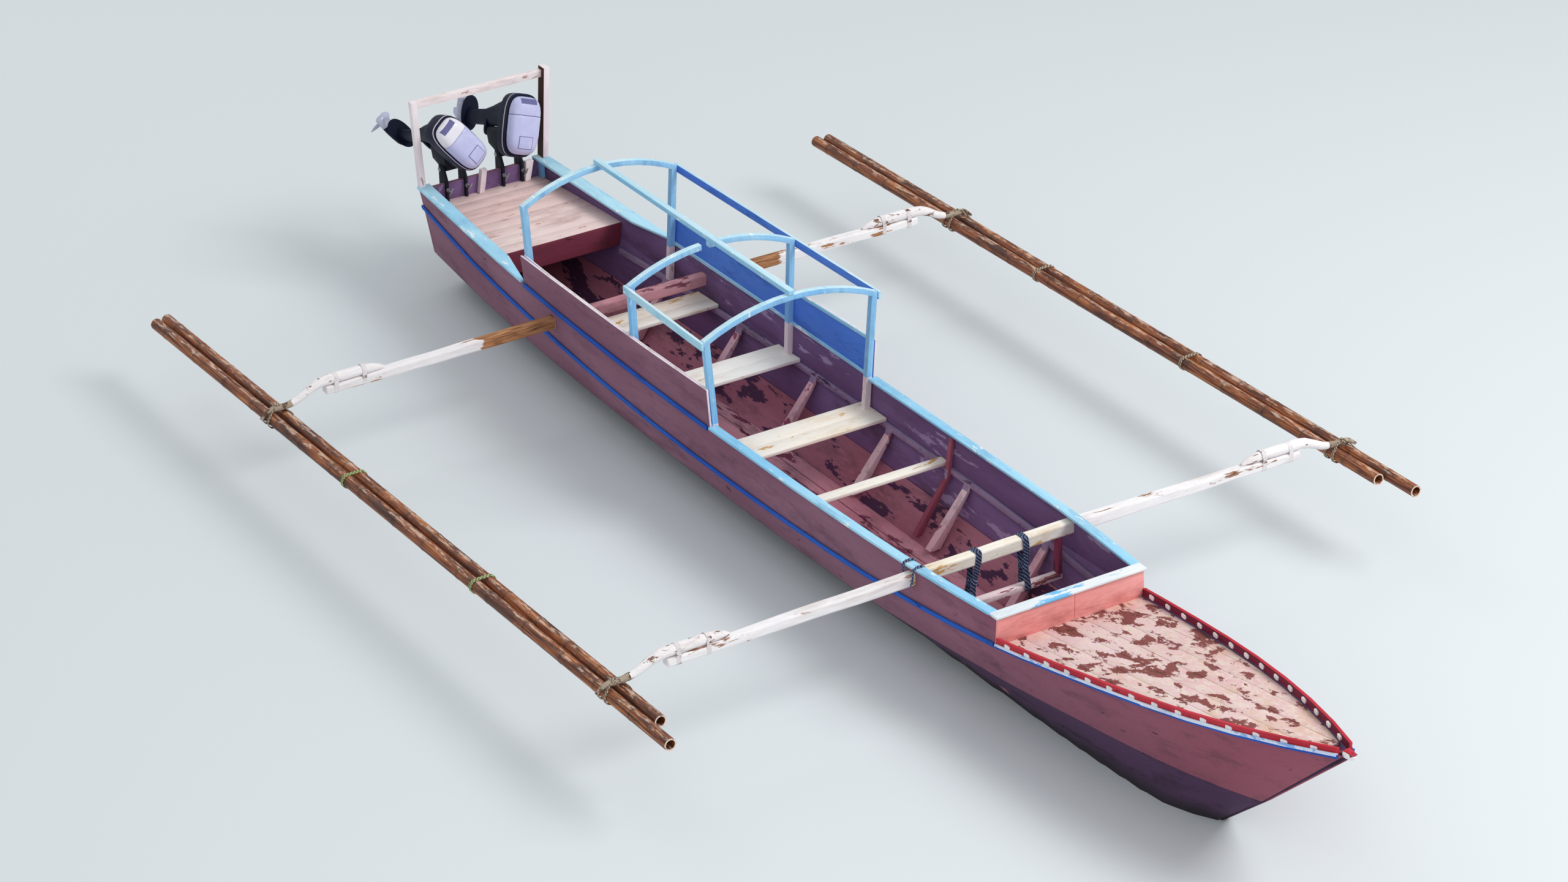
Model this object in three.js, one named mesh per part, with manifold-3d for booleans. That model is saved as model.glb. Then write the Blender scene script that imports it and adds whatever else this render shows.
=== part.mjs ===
// Outrigger canoe with a cabin frame, two bamboo floats and two tilted outboard motors.
// Millimetres. +X is the bow, +Y is port, +Z is up.
// The origin is amidships on the centreline, at the waterline of the empty boat.
import * as THREE from "three";
import { mergeVertices } from "three/addons/utils/BufferGeometryUtils.js";
import Module from "manifold-3d";

const wasm = await Module();
wasm.setup();

// Clearance kept between pieces that touch
const GAP = 0.3;
// Overlap of two bodies that are joined into one
const LAP = 1;

// Hull: overall places and plank sizes
const TRANSOM_X = -5730;
const TRANSOM_THICK = 40;
const TRANSOM_CORNER_DROP = 4;
const TRANSOM_FOOT_DEEP = 20;
const PLANK_START_X = TRANSOM_X + TRANSOM_THICK + GAP;
const COAMING_X = 2613;
const COAMING_THICK = 20;
const COAMING_END = COAMING_X + COAMING_THICK;
const BOW_BLEND_X = 2900;
const BOW_NOMINAL_X = 5000;
const BOTTOM_THICK = 20;
const SIDE_THICK = 18;
const KEEL_HALF = 25;
const KEEL_DEPTH = 55;
const KEEL_TOP_RISE = 45;
const AFT_STATIONS = 18;
const BOW_STATIONS = 9;

// Hull lines of the port side, outer surface. Columns: x, y, z
const GARBOARD = [
  [-5730, 26, -60], [-4500, 26, -135], [-3000, 26, -182], [-1000, 26, -203], [1000, 26, -207],
  [2600, 26, -198], [3500, 26, -168], [4000, 26, -125], [4270, 26, -70],
];
const BILGE = [
  [-5730, 160, 10], [-4500, 185, -55], [-3000, 200, -92], [-1000, 205, -105], [1000, 210, -108],
  [2600, 228, -112], [3500, 236, -103], [4000, 205, -75], [4370, 46, -25],
];
const KNUCKLE = [
  [-5730, 470, 330], [-4500, 560, 290], [-3000, 615, 266], [-1000, 636, 262], [1000, 612, 276],
  [2480, 520, 328], [3200, 446, 364], [3990, 322, 386], [4500, 186, 386], [4852, 46, 380],
];
const SHEER = [
  [-5730, 545, 760], [-4600, 625, 640], [-3000, 692, 548], [-1760, 712, 505], [-500, 715, 505],
  [850, 702, 540], [1700, 680, 594], [2530, 634, 668], [3190, 584, 762], [3930, 500, 872],
  [4580, 385, 966], [5150, 232, 1054], [5665, 46, 1140],
];
const WASH_TOP = [
  [-5730, 578, 930], [-4500, 652, 886], [-3300, 702, 852], [-2000, 725, 833], [-1000, 727, 830],
  [0, 722, 837], [1000, 708, 852], [1700, 688, 867], [2633, 612, 882],
];
const PANEL_TOP = [
  [-4300, 694, 1120], [-3800, 712, 1122], [-2080, 740, 1130], [-940, 750, 1158], [-500, 752, 1172],
];

// Stem: its fore edge from the keel up, and its aft edge from the head down. Columns: x, z
const STEM_FORE = [
  [3500, -226], [3900, -200], [4180, -142], [4330, -70], [4418, 0], [4869, 380], [5734, 1166],
];
const STEM_AFT = [
  [5690, 1172], [5560, 1118], [5540, 1060], [4760, 352], [4290, -20], [4140, -72], [3900, -92],
  [3500, -120],
];

// Foredeck, its bulkhead and its edge
const TOE_RISE = 58;
const TOE_FLARE = 4;
const TOE_THICK = 24;
const TOE_END_NOMINAL = BOW_NOMINAL_X - 30;
const DECK_THICK = 22;
const DECK_DROP = 4;
const DECK_EASE = 2;
const DECK_END_NOMINAL = 4850;
const BULKHEAD_THICK = 21;
const BULKHEAD_EASE = 4;
const BULKHEAD_NOTCH_HALF = KEEL_HALF + 10;
const BULKHEAD_NOTCH_RISE = 60;
const FACE_BOARD_RISE = 8;
const FACE_BOARD_EASE = 5;

// Top edge of the low rail around the foredeck, above the sheer
const TOE_TOP = SHEER.map(([x, y, z]) => [x, y + TOE_FLARE, z + TOE_RISE]);

// Capping boards
const CAP_THICK = 22;
const CAP_OVERHANG = 18;
const CAP_WIDTH = 78;
const CAP_FRONT_X = COAMING_X - 60;
const CAP_FRONT_LIP = 34;
const STERN_CAP_WIDTH = 118;
const STERN_CAP_TIP_X = -3835;
const STERN_CAP_TIP_WIDTH = 34;
const STERN_CAP_TIP_LONG = 320;

// Cabin frame
const BOW_X = { aft: -3765, mid: -2079, front: -966 };
const BOW_WIDE = 50;
const BOW_DEEP = 42;
const BOW_TOP_Y = { aft: 700, mid: 735, front: 757 };
const BOW_EAVE_Z = 1552;
const BOW_CROWN_Z = 1730;
const BOW_ROOF_STEPS = 12;
const POST_DEEP = BOW_DEEP + 6;
const POST_EASE = 1;
const MID_BOW_PORT_END_Y = -26;
const BROKEN_BOW_END_Y = -95;
const RIDGE_WIDE = 52;
const RIDGE_DEEP = 42;
const RIDGE_OVERHANG = 30;
const TOP_RAIL_DEEP = 66;
const TOP_RAIL_THICK = 26;
const TOP_RAIL_OVERHANG = 28;
const PANEL_START_X = BOW_X.aft - 30;

// Rails on the outside of the hull
const RAIL_THICK = 16;
const RAIL_CROWN = 4;
const RAIL_HALF = 20;
const RAIL_SEAT = 0.8;
const BOW_RAIL_END_NOMINAL = BOW_NOMINAL_X - 20;
const CABIN_RAIL_START_X = STERN_CAP_TIP_X + 40;
const CABIN_RAIL_END_X = BOW_X.front - 2;

// Stern: deck, posts and bar
const STERN_DECK_Z = 780;
const STERN_DECK_FRONT_X = -4520;
const STERN_DECK_THICK = 26;
const STERN_DECK_EASE = 2;
const STERN_FACE_DEEP = 170;
const STERN_FACE_THICK = 24;
const POST_WIDE = 50;
const POST_FOOT_Y = 560;
const POST_TOP_Y = 604;
// Columns: side, depth fore and aft, height of the top
const STERN_POSTS = [[1, 95, 1740], [-1, 50, 1712]];
const BAR_TOP_Z = 1710;
const BAR_DEEP = 58;
const BAR_WIDE = 46;
const BAR_INSET = 2;

// Inside: seats, risers, frames and floor
const SEAT_Z = 600;
const SEAT_THICK = 30;
const SEAT_EASE = 4;
const RISER_DEEP = 42;
const RISER_THICK = 28;
const RISER_EASE = 1.3;
const RISER_START_X = STERN_DECK_FRONT_X + 40;
const RISER_END_X = COAMING_X - 30;
const FLOOR_Z = 70;
const FLOOR_THICK = 18;
const FLOOR_EASE = 12;
const FLOOR_START_X = STERN_DECK_FRONT_X + 80;
const FLOOR_END_X = COAMING_X - 120;
const FRAME_THICK = 46;
const FRAME_EASE = 5;
const FRAME_KEEL_EASE = 2;
const FRAME_NOTCH_HALF = KEEL_HALF + 12;
const FRAME_NOTCH_RISE = 6;
const FRAME_XS = [-4860, -3810, -2760, -1710, -660, 390, 1440];
const KEELSON_HALF = 30;
const KEELSON_DEEP = 50;
const KEELSON_OVERHANG = 60;
const ARM_WIDE = 68;
const ARM_THICK = 24;
const ARM_TIP_DROP = 4;
const ARM_SHOULDER_DROP = 70;
const ARM_NECK_DROP = RISER_DEEP + 30;
const ARM_FOOT_Z = FLOOR_Z + 30;
const ARM_FOOT_LONG = 90;
const ARM_FOOT_EASE = 8;
// The one rib that stands above the riser, to port
const RIB_X = 151;
const RIB_WIDE = 42;
const RIB_TOP_Z = 820;
const RIB_HEAD_THICK = 23;
const RIB_HEAD_EASE = 3;
const RIB_NECK_THICK = 27;
const RIB_WAIST_THICK = 41;
const RIB_FOOT_LONG = 60;
// Columns: name, x of the aft edge, x of the fore edge
const SEATS = [
  ["seat_aft", -3395, -3100],
  ["seat_mid", -2245, -1935],
  ["seat_front", -1070, -735],
  ["seat_bar", 0, 98],
];

// Outrigger beams, crooks and floats
const BEAM = {
  front: { x: 1683, rootZ: 835, tipZ: 800 },
  rear: { x: -3340, rootZ: 775, tipZ: 742 },
};
const BEAM_DEEP = 96;
const BEAM_TIP_DEEP = 66;
const BEAM_WIDE = 84;
const BEAM_HALF_LENGTH = 2690;
const BEAM_BEND_Y = 690;
// Tie under the front beam inside the hull, held by an upright at each end
const TIE_LOW_Z = 400;
const TIE_DEEP = 40;
const TIE_WIDE = 72;
const TIE_HALF_LENGTH = 578;
const UPRIGHT_WIDE = 64;
const UPRIGHT_INNER_Y = 544;
const UPRIGHT_OUTER_Y = 576;
// Bent branch from the beam's top to over the float.
// Columns: y, radius, share of the way down from the beam's top to the float's top
const CROOK = [
  [2180, 12, 0], [2235, 26, 0], [2330, 37, 0], [2480, 41, 0], [2690, 40, 0], [2770, 37, 0.16],
  [2850, 33, 0.5], [2930, 30, 0.86], [3000, 28, 1], [3090, 27, 1], [3160, 25, 1], [3240, 14, 1.5],
];
const CROOK_SIDES = 10;
const CROOK_FLOAT_EASE = 1;
const POLE_R = 49;
const POLE_BORE_R = 38;
const POLE_BORE_DEPTH = 230;
const POLE_SIDES = 14;
const POLE_OUTER_Y = 3140;
const POLE_INNER_Y = 3036;
const POLE_AFT_X = -5365;
const POLE_AFT_Z = 562;
const POLE_SLOPE = 0.0148;
// Columns: y of the pole, x of the aft end, x of the fore end
const POLES = [
  [POLE_OUTER_Y, -5360, 2500],
  [POLE_INNER_Y, -5385, 2200],
];
const LASHING_R = 8;
const LASHING_WIDE = 26;
const LASHING_FROM_CROOK = 46;
const TIE_XS = [-2100, -150];

// Outboard motors, in each motor's own frame: origin on the tilt axis, leg down, +X forward
const MOTOR_Y = { port: 262, stbd: -262 };
const TILT_X = -5748;
const TILT_Z = 1040;
const TILT_UP = 72;
const STEER_X = -170;
const STEER_REST = { port: 19, stbd: -37 };
const CLAMP_REACH = 34;
const CLAMP_TOP = 30;
const CLAMP_HOOK_RISE = 26;
const CLAMP_FORE_DEEP = 150;
const CLAMP_AFT_DEEP = 230;
const CLAMP_INNER_Y = 78;
const CLAMP_OUTER_Y = 98;
const CLAMP_WEB_DEEP = 40;
const TILT_PIN_R = 14;
const TILT_BORE_R = 14.9;
const SWIVEL_HALF = 60;
// Side view of the swivel bracket. Columns: x, z
const SWIVEL = [[-30, 26], [26, 26], [30, -22], [-80, -190], [-190, -190], [-190, 26]];
// Room for the leg behind the swivel bracket, from the steering axis
const SWIVEL_NOTCH = { aft: 100, fore: 8, half: 90, low: -400, high: 200 };
const STEER_TUBE_R = 34;
const STEER_TUBE_LOW = -244;
const STEER_TUBE_HIGH = 56;
const YOKE_DEEP = 36;
const YOKE_HALF = 44;
const YOKE_FORE = 40;
const YOKE_AFT = 20;
const LEG_X = STEER_X - 100;
const LEG = { halfLong: 58, halfWide: 34, low: -760, high: 110 };
const PROP_Z = -800;
const PLATE = { x: LEG_X - 30, halfLong: 150, halfWide: 80, low: PROP_Z + 150, high: PROP_Z + 160 };
const PAN = { x: -235, halfLong: 225, halfWide: 124, low: 100, high: 160 };
const GEARCASE_AFT = 120;
// Columns: radius, distance aft of the leg's middle
const GEARCASE = [[0, -130], [26, -112], [44, -60], [48, 40], [44, GEARCASE_AFT], [0, GEARCASE_AFT]];
// Columns: x from the leg's middle, z from the propeller's axis
const SKEG = [[50, -20], [-60, -20], [-70, -150], [-20, -150]];
const SKEG_HALF = 7;
// Columns: x, half width, z of the bottom, z of the top
const COWL = [
  [36, 88, 168, 300], [20, 118, 164, 350], [-60, 138, 161, 404], [-200, 142, 161, 430],
  [-330, 134, 161, 424], [-430, 112, 162, 392], [-490, 78, 168, 330],
];
// Port half of the cowl's section. Columns: share of the half width, share of the height
const COWL_SECTION = [[1, 0], [1, 0.6], [0.78, 0.9], [0.45, 1]];
const HUB = { length: 92, foreR: 44, aftR: 36 };
const BLADE = { count: 3, middle: 80, halfChord: 40, halfSpan: 48, thick: 6, twist: 0.6 };

const COLOURS = {
  bottom: 0x4a3346, topside: 0x7a4a60, bowRed: 0x8a3a4a, blue: 0x2a4fa8, lightBlue: 0xa5dcf0,
  salmon: 0xe8877c, deck: 0xe8c9bf, toeRed: 0x9c2f3a, panel: 0x3a63b8, cream: 0xe9dcc3,
  inside: 0x4a2f4a, pinkWhite: 0xe8d2d6, beam: 0xd9cdc4, bamboo: 0x8a5a35, lavender: 0xb9b9dc,
  navy: 0x1c2434, metal: 0x5a6068, maroon: 0x6e3448,
};

const canoe = new THREE.Group();
canoe.name = "outrigger_canoe";

// Gives one material for a colour name
function paint(name, roughness = 0.7, metalness = 0) {
  return new THREE.MeshStandardMaterial({ color: COLOURS[name], roughness, metalness });
}

// Adds a named piece to a group
function piece(name, geometry, material, group = canoe) {
  const mesh = new THREE.Mesh(geometry, material);
  mesh.name = name;
  group.add(mesh);
}

// Adds a port piece and its starboard twin
function pair(name, geometry, colour) {
  piece(`${name}_port`, geometry, paint(colour));
  piece(`${name}_stbd`, mirrored(geometry), paint(colour));
}

// Smooth value of one column of a table at x, by a cubic through the rows
function smooth(rows, x, column) {
  const last = rows.length - 1;
  if (x <= rows[0][0]) return rows[0][column];
  if (x >= rows[last][0]) return rows[last][column];
  let i = 0;
  while (x > rows[i + 1][0]) i += 1;
  const slope = (k) => {
    const a = Math.max(k - 1, 0);
    const b = Math.min(k + 1, last);
    return (rows[b][column] - rows[a][column]) / (rows[b][0] - rows[a][0]);
  };
  const width = rows[i + 1][0] - rows[i][0];
  const t = (x - rows[i][0]) / width;
  const t2 = t * t;
  const t3 = t2 * t;
  return (
    (2 * t3 - 3 * t2 + 1) * rows[i][column] +
    (t3 - 2 * t2 + t) * width * slope(i) +
    (-2 * t3 + 3 * t2) * rows[i + 1][column] +
    (t3 - t2) * width * slope(i + 1)
  );
}

// Point of a hull curve at station u: curves run together aft and stretch to their own bow ends
function curvePoint(rows, u) {
  const end = rows[rows.length - 1][0];
  const stretch = (end - BOW_BLEND_X) / (BOW_NOMINAL_X - BOW_BLEND_X);
  const toBow = end > BOW_BLEND_X && u > BOW_BLEND_X;
  const x = toBow ? BOW_BLEND_X + (u - BOW_BLEND_X) * stretch : u;
  return new THREE.Vector3(x, smooth(rows, x, 1), smooth(rows, x, 2));
}

// Even steps from one x to another
function steps(from, to, count) {
  return Array.from({ length: count }, (_, i) => from + ((to - from) * i) / (count - 1));
}

// Stations that every plank, rail and cap shares
const STATIONS = [
  ...steps(TRANSOM_X, COAMING_X, AFT_STATIONS),
  ...steps(COAMING_END, BOW_NOMINAL_X, BOW_STATIONS),
];

// The shared stations inside a stretch, with the stretch's own ends
function stations(from, to) {
  return [from, ...STATIONS.filter((u) => u > from + 1 && u < to - 1), to];
}

// Point of a hull line at station u, straight between the shared stations
function linePoint(rows, u) {
  let i = 0;
  while (i < STATIONS.length - 2 && u > STATIONS[i + 1]) i += 1;
  const share = (u - STATIONS[i]) / (STATIONS[i + 1] - STATIONS[i]);
  return curvePoint(rows, STATIONS[i]).lerp(curvePoint(rows, STATIONS[i + 1]), share);
}

// Triangles that fill one ring, in the ring's own order
function endFaces(ring) {
  const flat = ring.map((p) => new THREE.Vector2(p.y, p.z));
  const forward = THREE.ShapeUtils.area(flat) > 0;
  return THREE.ShapeUtils.triangulateShape(flat, []).map(([a, b, c]) => (forward ? [a, b, c] : [a, c, b]));
}

// Closed body through rings of points, with flat ends; it turns itself to face out
function loft(rings) {
  const count = rings[0].length;
  const positions = rings.flat().flatMap((p) => [p.x, p.y, p.z]);
  const index = [];
  for (let r = 0; r + 1 < rings.length; r += 1) {
    for (let k = 0; k < count; k += 1) {
      const a = r * count + k;
      const b = r * count + ((k + 1) % count);
      index.push(a, b, b + count, a, b + count, a + count);
    }
  }
  const lastStart = (rings.length - 1) * count;
  for (const [a, b, c] of endFaces(rings[0])) index.push(a, c, b);
  for (const [a, b, c] of endFaces(rings[rings.length - 1])) {
    index.push(lastStart + a, lastStart + b, lastStart + c);
  }
  const geometry = new THREE.BufferGeometry();
  geometry.setAttribute("position", new THREE.Float32BufferAttribute(positions, 3));
  geometry.setIndex(index);
  return facingOut(geometry);
}

// Six times the signed volume of an indexed geometry
function signedVolume(geometry) {
  const p = geometry.getAttribute("position");
  const index = geometry.index.array;
  const [a, b, c] = [new THREE.Vector3(), new THREE.Vector3(), new THREE.Vector3()];
  let sum = 0;
  for (let i = 0; i < index.length; i += 3) {
    a.fromBufferAttribute(p, index[i]);
    b.fromBufferAttribute(p, index[i + 1]);
    c.fromBufferAttribute(p, index[i + 2]);
    sum += a.dot(b.cross(c));
  }
  return sum;
}

// Turns every face round if the body faces in
function facingOut(geometry) {
  if (signedVolume(geometry) > 0) return geometry;
  const index = geometry.index.array;
  for (let i = 0; i < index.length; i += 3) [index[i + 1], index[i + 2]] = [index[i + 2], index[i + 1]];
  return geometry;
}

// Merged copy with position only
function bare(geometry) {
  const copy = geometry.clone();
  for (const name of Object.keys(copy.attributes)) if (name !== "position") copy.deleteAttribute(name);
  return mergeVertices(copy, 1e-4);
}

// The starboard twin of a port piece
function mirrored(geometry) {
  const copy = bare(geometry);
  copy.scale(1, -1, 1);
  return facingOut(copy);
}

// Solid for joining and cutting
function solid(geometry) {
  const g = facingOut(bare(geometry));
  const vertProperties = new Float32Array(g.getAttribute("position").array);
  const triVerts = new Uint32Array(g.index.array);
  return new wasm.Manifold(new wasm.Mesh({ numProp: 3, vertProperties, triVerts }));
}

// Geometry of a joined or cut solid
function shell(manifold) {
  const mesh = manifold.getMesh();
  const geometry = new THREE.BufferGeometry();
  geometry.setAttribute("position", new THREE.Float32BufferAttribute(Array.from(mesh.vertProperties), 3));
  geometry.setIndex(Array.from(mesh.triVerts));
  return geometry;
}

// One body from overlapping geometries
function fused(geometries) {
  return shell(geometries.map(solid).reduce((a, b) => a.add(b)));
}

// Body with cutters taken out
function cut(geometry, cutters) {
  return shell(cutters.map(solid).reduce((a, b) => a.subtract(b), solid(geometry)));
}

// Box from its low and high corners
function boxFrom(x0, x1, y0, y1, z0, z1) {
  const box = new THREE.BoxGeometry(x1 - x0, y1 - y0, z1 - z0);
  return box.translate((x0 + x1) / 2, (y0 + y1) / 2, (z0 + z1) / 2);
}

// Plate of a shape drawn in the YZ plane, from x0 to x1
function acrossX(shape, x0, x1) {
  const plate = new THREE.ExtrudeGeometry(shape, { depth: x1 - x0, bevelEnabled: false, curveSegments: 8 });
  const turn = new THREE.Matrix4().set(0, 0, 1, x0, 1, 0, 0, 0, 0, 1, 0, 0, 0, 0, 0, 1);
  return plate.applyMatrix4(turn);
}

// Plate in a YZ outline, from x0 to x1. The outline is a list of [y, z]
function crossPlate(outline, x0, x1) {
  return acrossX(new THREE.Shape(outline.map(([y, z]) => new THREE.Vector2(y, z))), x0, x1);
}

// Plate in an XZ outline, from y0 to y1. The outline is a list of [x, z]
function sidePlate(outline, y0, y1) {
  const shape = new THREE.Shape(outline.map(([x, z]) => new THREE.Vector2(x, z)));
  const plate = new THREE.ExtrudeGeometry(shape, { depth: y1 - y0, bevelEnabled: false, curveSegments: 8 });
  const turn = new THREE.Matrix4().set(1, 0, 0, 0, 0, 0, -1, y1, 0, 1, 0, 0, 0, 0, 0, 1);
  return plate.applyMatrix4(turn);
}

// Inner corner points of a run of hull points at one station: each face moves in by its thickness
function insetRun(points, thick) {
  return points.map((p, i) => {
    const before = points[Math.max(i - 1, 0)];
    const after = points[Math.min(i + 1, points.length - 1)];
    const normals = [[before, p], [p, after]]
      .filter(([a, b]) => a !== b)
      .map(([a, b]) => new THREE.Vector2(-(b.z - a.z), b.y - a.y).normalize());
    const sum = normals.reduce((a, b) => a.clone().add(b), new THREE.Vector2());
    const bisector = sum.normalize();
    const scale = thick / bisector.dot(normals[0]);
    const inner = new THREE.Vector3(p.x, p.y + bisector.x * scale, p.z + bisector.y * scale);
    const along = after.clone().sub(before);
    if (i === 0) inner.addScaledVector(along, (p.y - inner.y) / along.y);
    if (i === points.length - 1) inner.addScaledVector(along, (p.z - inner.z) / along.z);
    inner.x = p.x;
    inner.y = Math.max(inner.y, KEEL_HALF + 2 * GAP);
    return inner;
  });
}

// All outer points of one station, from the keel up to the wash top or, forward, the toe top
function hullRun(u) {
  const top = u <= COAMING_X ? WASH_TOP : TOE_TOP;
  return [GARBOARD, BILGE, KNUCKLE, SHEER, top].map((rows) => linePoint(rows, u));
}

// All outer points of one station of the cabin zone, from the sheer up
function cabinRun(u) {
  return [SHEER, WASH_TOP, PANEL_TOP].map((rows) => linePoint(rows, u));
}

// Plank between the points first..last of a run, with small gaps along its edges
function plank(run, first, last, thick, from, to) {
  return loft(stations(from, to).map((u) => {
    const outer = run(u);
    const inner = insetRun(outer, thick);
    const out = outer.slice(first, last + 1);
    const inn = inner.slice(first, last + 1);
    const moved = (edge, at, towards) => {
      const step = edge[towards].clone().sub(edge[at]);
      step.x = 0;
      return edge[at].clone().add(step.setLength(GAP));
    };
    const trim = (edge) => {
      const end = edge.length - 1;
      return edge.map((p, i) => {
        if (i === 0) return moved(edge, 0, 1);
        return i === end ? moved(edge, end, end - 1) : p;
      });
    };
    return [...trim(out), ...trim(inn).reverse()];
  }));
}

// Point of the hull's inner face at station u and height z on the port side
function innerPoint(u, z, thick) {
  const inner = insetRun(hullRun(u), thick);
  const at = inner.findIndex((p, i) => i > 0 && z <= p.z);
  if (at < 0) return inner[inner.length - 1];
  const [a, b] = [inner[at - 1], inner[at]];
  return a.clone().lerp(b, (z - a.z) / (b.z - a.z));
}

// Inner face of the hull at x and z on the port side; forward, the station is found by halving
function innerY(x, z, thick = SIDE_THICK) {
  if (x <= COAMING_END) return innerPoint(x, z, thick).y;
  let [low, high] = [COAMING_END, BOW_NOMINAL_X];
  for (let i = 0; i < 30; i += 1) {
    const middle = (low + high) / 2;
    if (innerPoint(middle, z, thick).x < x) low = middle;
    else high = middle;
  }
  return innerPoint(low, z, thick).y;
}

// Ring of a rectangular strip in the YZ plane
function rectRing(x, y0, y1, z0, z1) {
  return [[y0, z0], [y1, z0], [y1, z1], [y0, z1]].map(([y, z]) => new THREE.Vector3(x, y, z));
}

// Keel timber that bends up into the raked stem
function addKeel() {
  const along = stations(PLANK_START_X, BOW_BLEND_X).map((x) => linePoint(GARBOARD, x));
  const keelEdge = along.map((p) => [p.x, p.z - KEEL_DEPTH]);
  const keelTop = along.map((p) => [p.x, p.z + KEEL_TOP_RISE]).reverse();
  const outline = [...keelEdge, ...STEM_FORE, ...STEM_AFT, ...keelTop];
  piece("keel_and_stem", sidePlate(outline, -KEEL_HALF, KEEL_HALF), paint("bowRed"));
}

// Bottom, side and wash planks of both sides, the last with holes for the crossbeams
function addPlanking() {
  const wash = plank(hullRun, 3, 4, SIDE_THICK, PLANK_START_X, COAMING_X - GAP);
  const holes = Object.values(BEAM).map((spec) => beamGeometry(spec, GAP));
  pair("bottom", plank(hullRun, 0, 2, BOTTOM_THICK, PLANK_START_X, BOW_NOMINAL_X), "bottom");
  pair("side", plank(hullRun, 2, 3, SIDE_THICK, PLANK_START_X, BOW_NOMINAL_X), "topside");
  pair("washstrake", cut(wash, holes), "topside");
}

// Flat transom board with the whole stern outline
function addTransom() {
  const rim = hullRun(TRANSOM_X).map((p) => [p.y, p.z]);
  rim[rim.length - 1][1] -= TRANSOM_CORNER_DROP;
  const foot = [0, smooth(GARBOARD, TRANSOM_X, 2) - TRANSOM_FOOT_DEEP];
  const outline = [foot, ...rim, ...otherSide(rim)];
  piece("transom", crossPlate(outline, TRANSOM_X, TRANSOM_X + TRANSOM_THICK), paint("topside"));
}

// Starboard half of a port outline of [y, z], in the order that closes the ring
function otherSide(half) {
  return half.map(([y, z]) => [-y, z]).reverse();
}

// Rail laid on the outer face of the hull along a line, over the planks beside it
function railAlong(run, at, from, to) {
  return loft(stations(from, to).map((u) => {
    const [below, mid, above] = run(u).slice(at - 1, at + 2);
    const step = (towards) => {
      const d = new THREE.Vector2(towards.y - mid.y, towards.z - mid.z).setLength(RAIL_HALF);
      return new THREE.Vector3(mid.x, mid.y + d.x, mid.z + d.y);
    };
    const [low, high] = [step(below), step(above)];
    const out = (p, distance) => new THREE.Vector3(p.x, p.y + distance, p.z);
    return [
      out(low, RAIL_SEAT), out(mid, RAIL_SEAT), out(high, RAIL_SEAT),
      out(high, RAIL_THICK), out(mid, RAIL_THICK + RAIL_CROWN), out(low, RAIL_THICK),
    ];
  }));
}

// Rub rails on the seam of side plank and wash plank, and the rails above them in the cabin zone
function addRails() {
  pair("rub_rail", railAlong(hullRun, 3, TRANSOM_X, COAMING_X), "blue");
  pair("bow_rail", railAlong(hullRun, 3, COAMING_END + GAP, BOW_RAIL_END_NOMINAL), "lightBlue");
  pair("cabin_rail", railAlong(cabinRun, 1, CABIN_RAIL_START_X, CABIN_RAIL_END_X), "blue");
}

// Foredeck boards between the side planks, and the toe rails on top of the planks
function addForedeck() {
  const from = COAMING_END + GAP;
  const deck = loft(stations(from, DECK_END_NOMINAL).map((u) => {
    const edge = linePoint(SHEER, u);
    const z = edge.z - DECK_DROP;
    const y = innerY(edge.x, z - DECK_THICK) - DECK_EASE;
    return rectRing(edge.x, -y, y, z - DECK_THICK, z);
  }));
  piece("foredeck", deck, paint("deck"));
  pair("toe_rail", plank(hullRun, 3, 4, TOE_THICK, from, TOE_END_NOMINAL), "toeRed");
}

// Coaming: bulkhead inside the hull and the face board in front of the wash planks
function addCoaming() {
  const outer = hullRun(COAMING_X);
  const inner = insetRun(outer, BOTTOM_THICK + BULKHEAD_EASE);
  const top = outer[4].z - GAP;
  const half = [
    [BULKHEAD_NOTCH_HALF, inner[0].z + BULKHEAD_NOTCH_RISE],
    ...inner.slice(1, 4).map((p) => [p.y, p.z]),
    [inner[4].y, top],
  ];
  const bulkhead = crossPlate([...half, ...otherSide(half)], COAMING_X - BULKHEAD_THICK, COAMING_END);
  const low = outer[3].z + FACE_BOARD_RISE;
  const face = [[outer[3].y - FACE_BOARD_EASE, low], [outer[4].y, top]];
  const faceBoard = crossPlate([...face, ...otherSide(face)], COAMING_X, COAMING_END);
  piece("coaming", fused([bulkhead, faceBoard]), paint("salmon"));
}

// Flat boards on top of the wash planks, which may narrow to their fore end
function capStrip(from, to, width, tipWidth = width) {
  return loft(stations(from, to).map((x) => {
    const edge = linePoint(WASH_TOP, x);
    const y = edge.y + CAP_OVERHANG;
    const z = edge.z + GAP;
    const nearTip = THREE.MathUtils.clamp(1 + (x - to) / STERN_CAP_TIP_LONG, 0, 1);
    const inner = y - THREE.MathUtils.lerp(width, tipWidth, nearTip);
    return rectRing(x, inner, y, z, z + CAP_THICK);
  }));
}

// Caps along the cockpit, across its front, and on the stern quarters
function addCaps() {
  const edge = linePoint(WASH_TOP, COAMING_X);
  const [half, low] = [edge.y + CAP_OVERHANG, edge.z + GAP];
  const front = boxFrom(CAP_FRONT_X + GAP, COAMING_X + CAP_FRONT_LIP, -half, half, low, low + CAP_THICK);
  piece("cap_front", front, paint("lightBlue"));
  pair("cap_side", capStrip(BOW_X.front + BOW_WIDE / 2 + GAP, CAP_FRONT_X, CAP_WIDTH), "lightBlue");
  const stern = capStrip(TRANSOM_X, STERN_CAP_TIP_X, STERN_CAP_WIDTH, STERN_CAP_TIP_WIDTH);
  pair("cap_stern", stern, "lightBlue");
}

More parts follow.
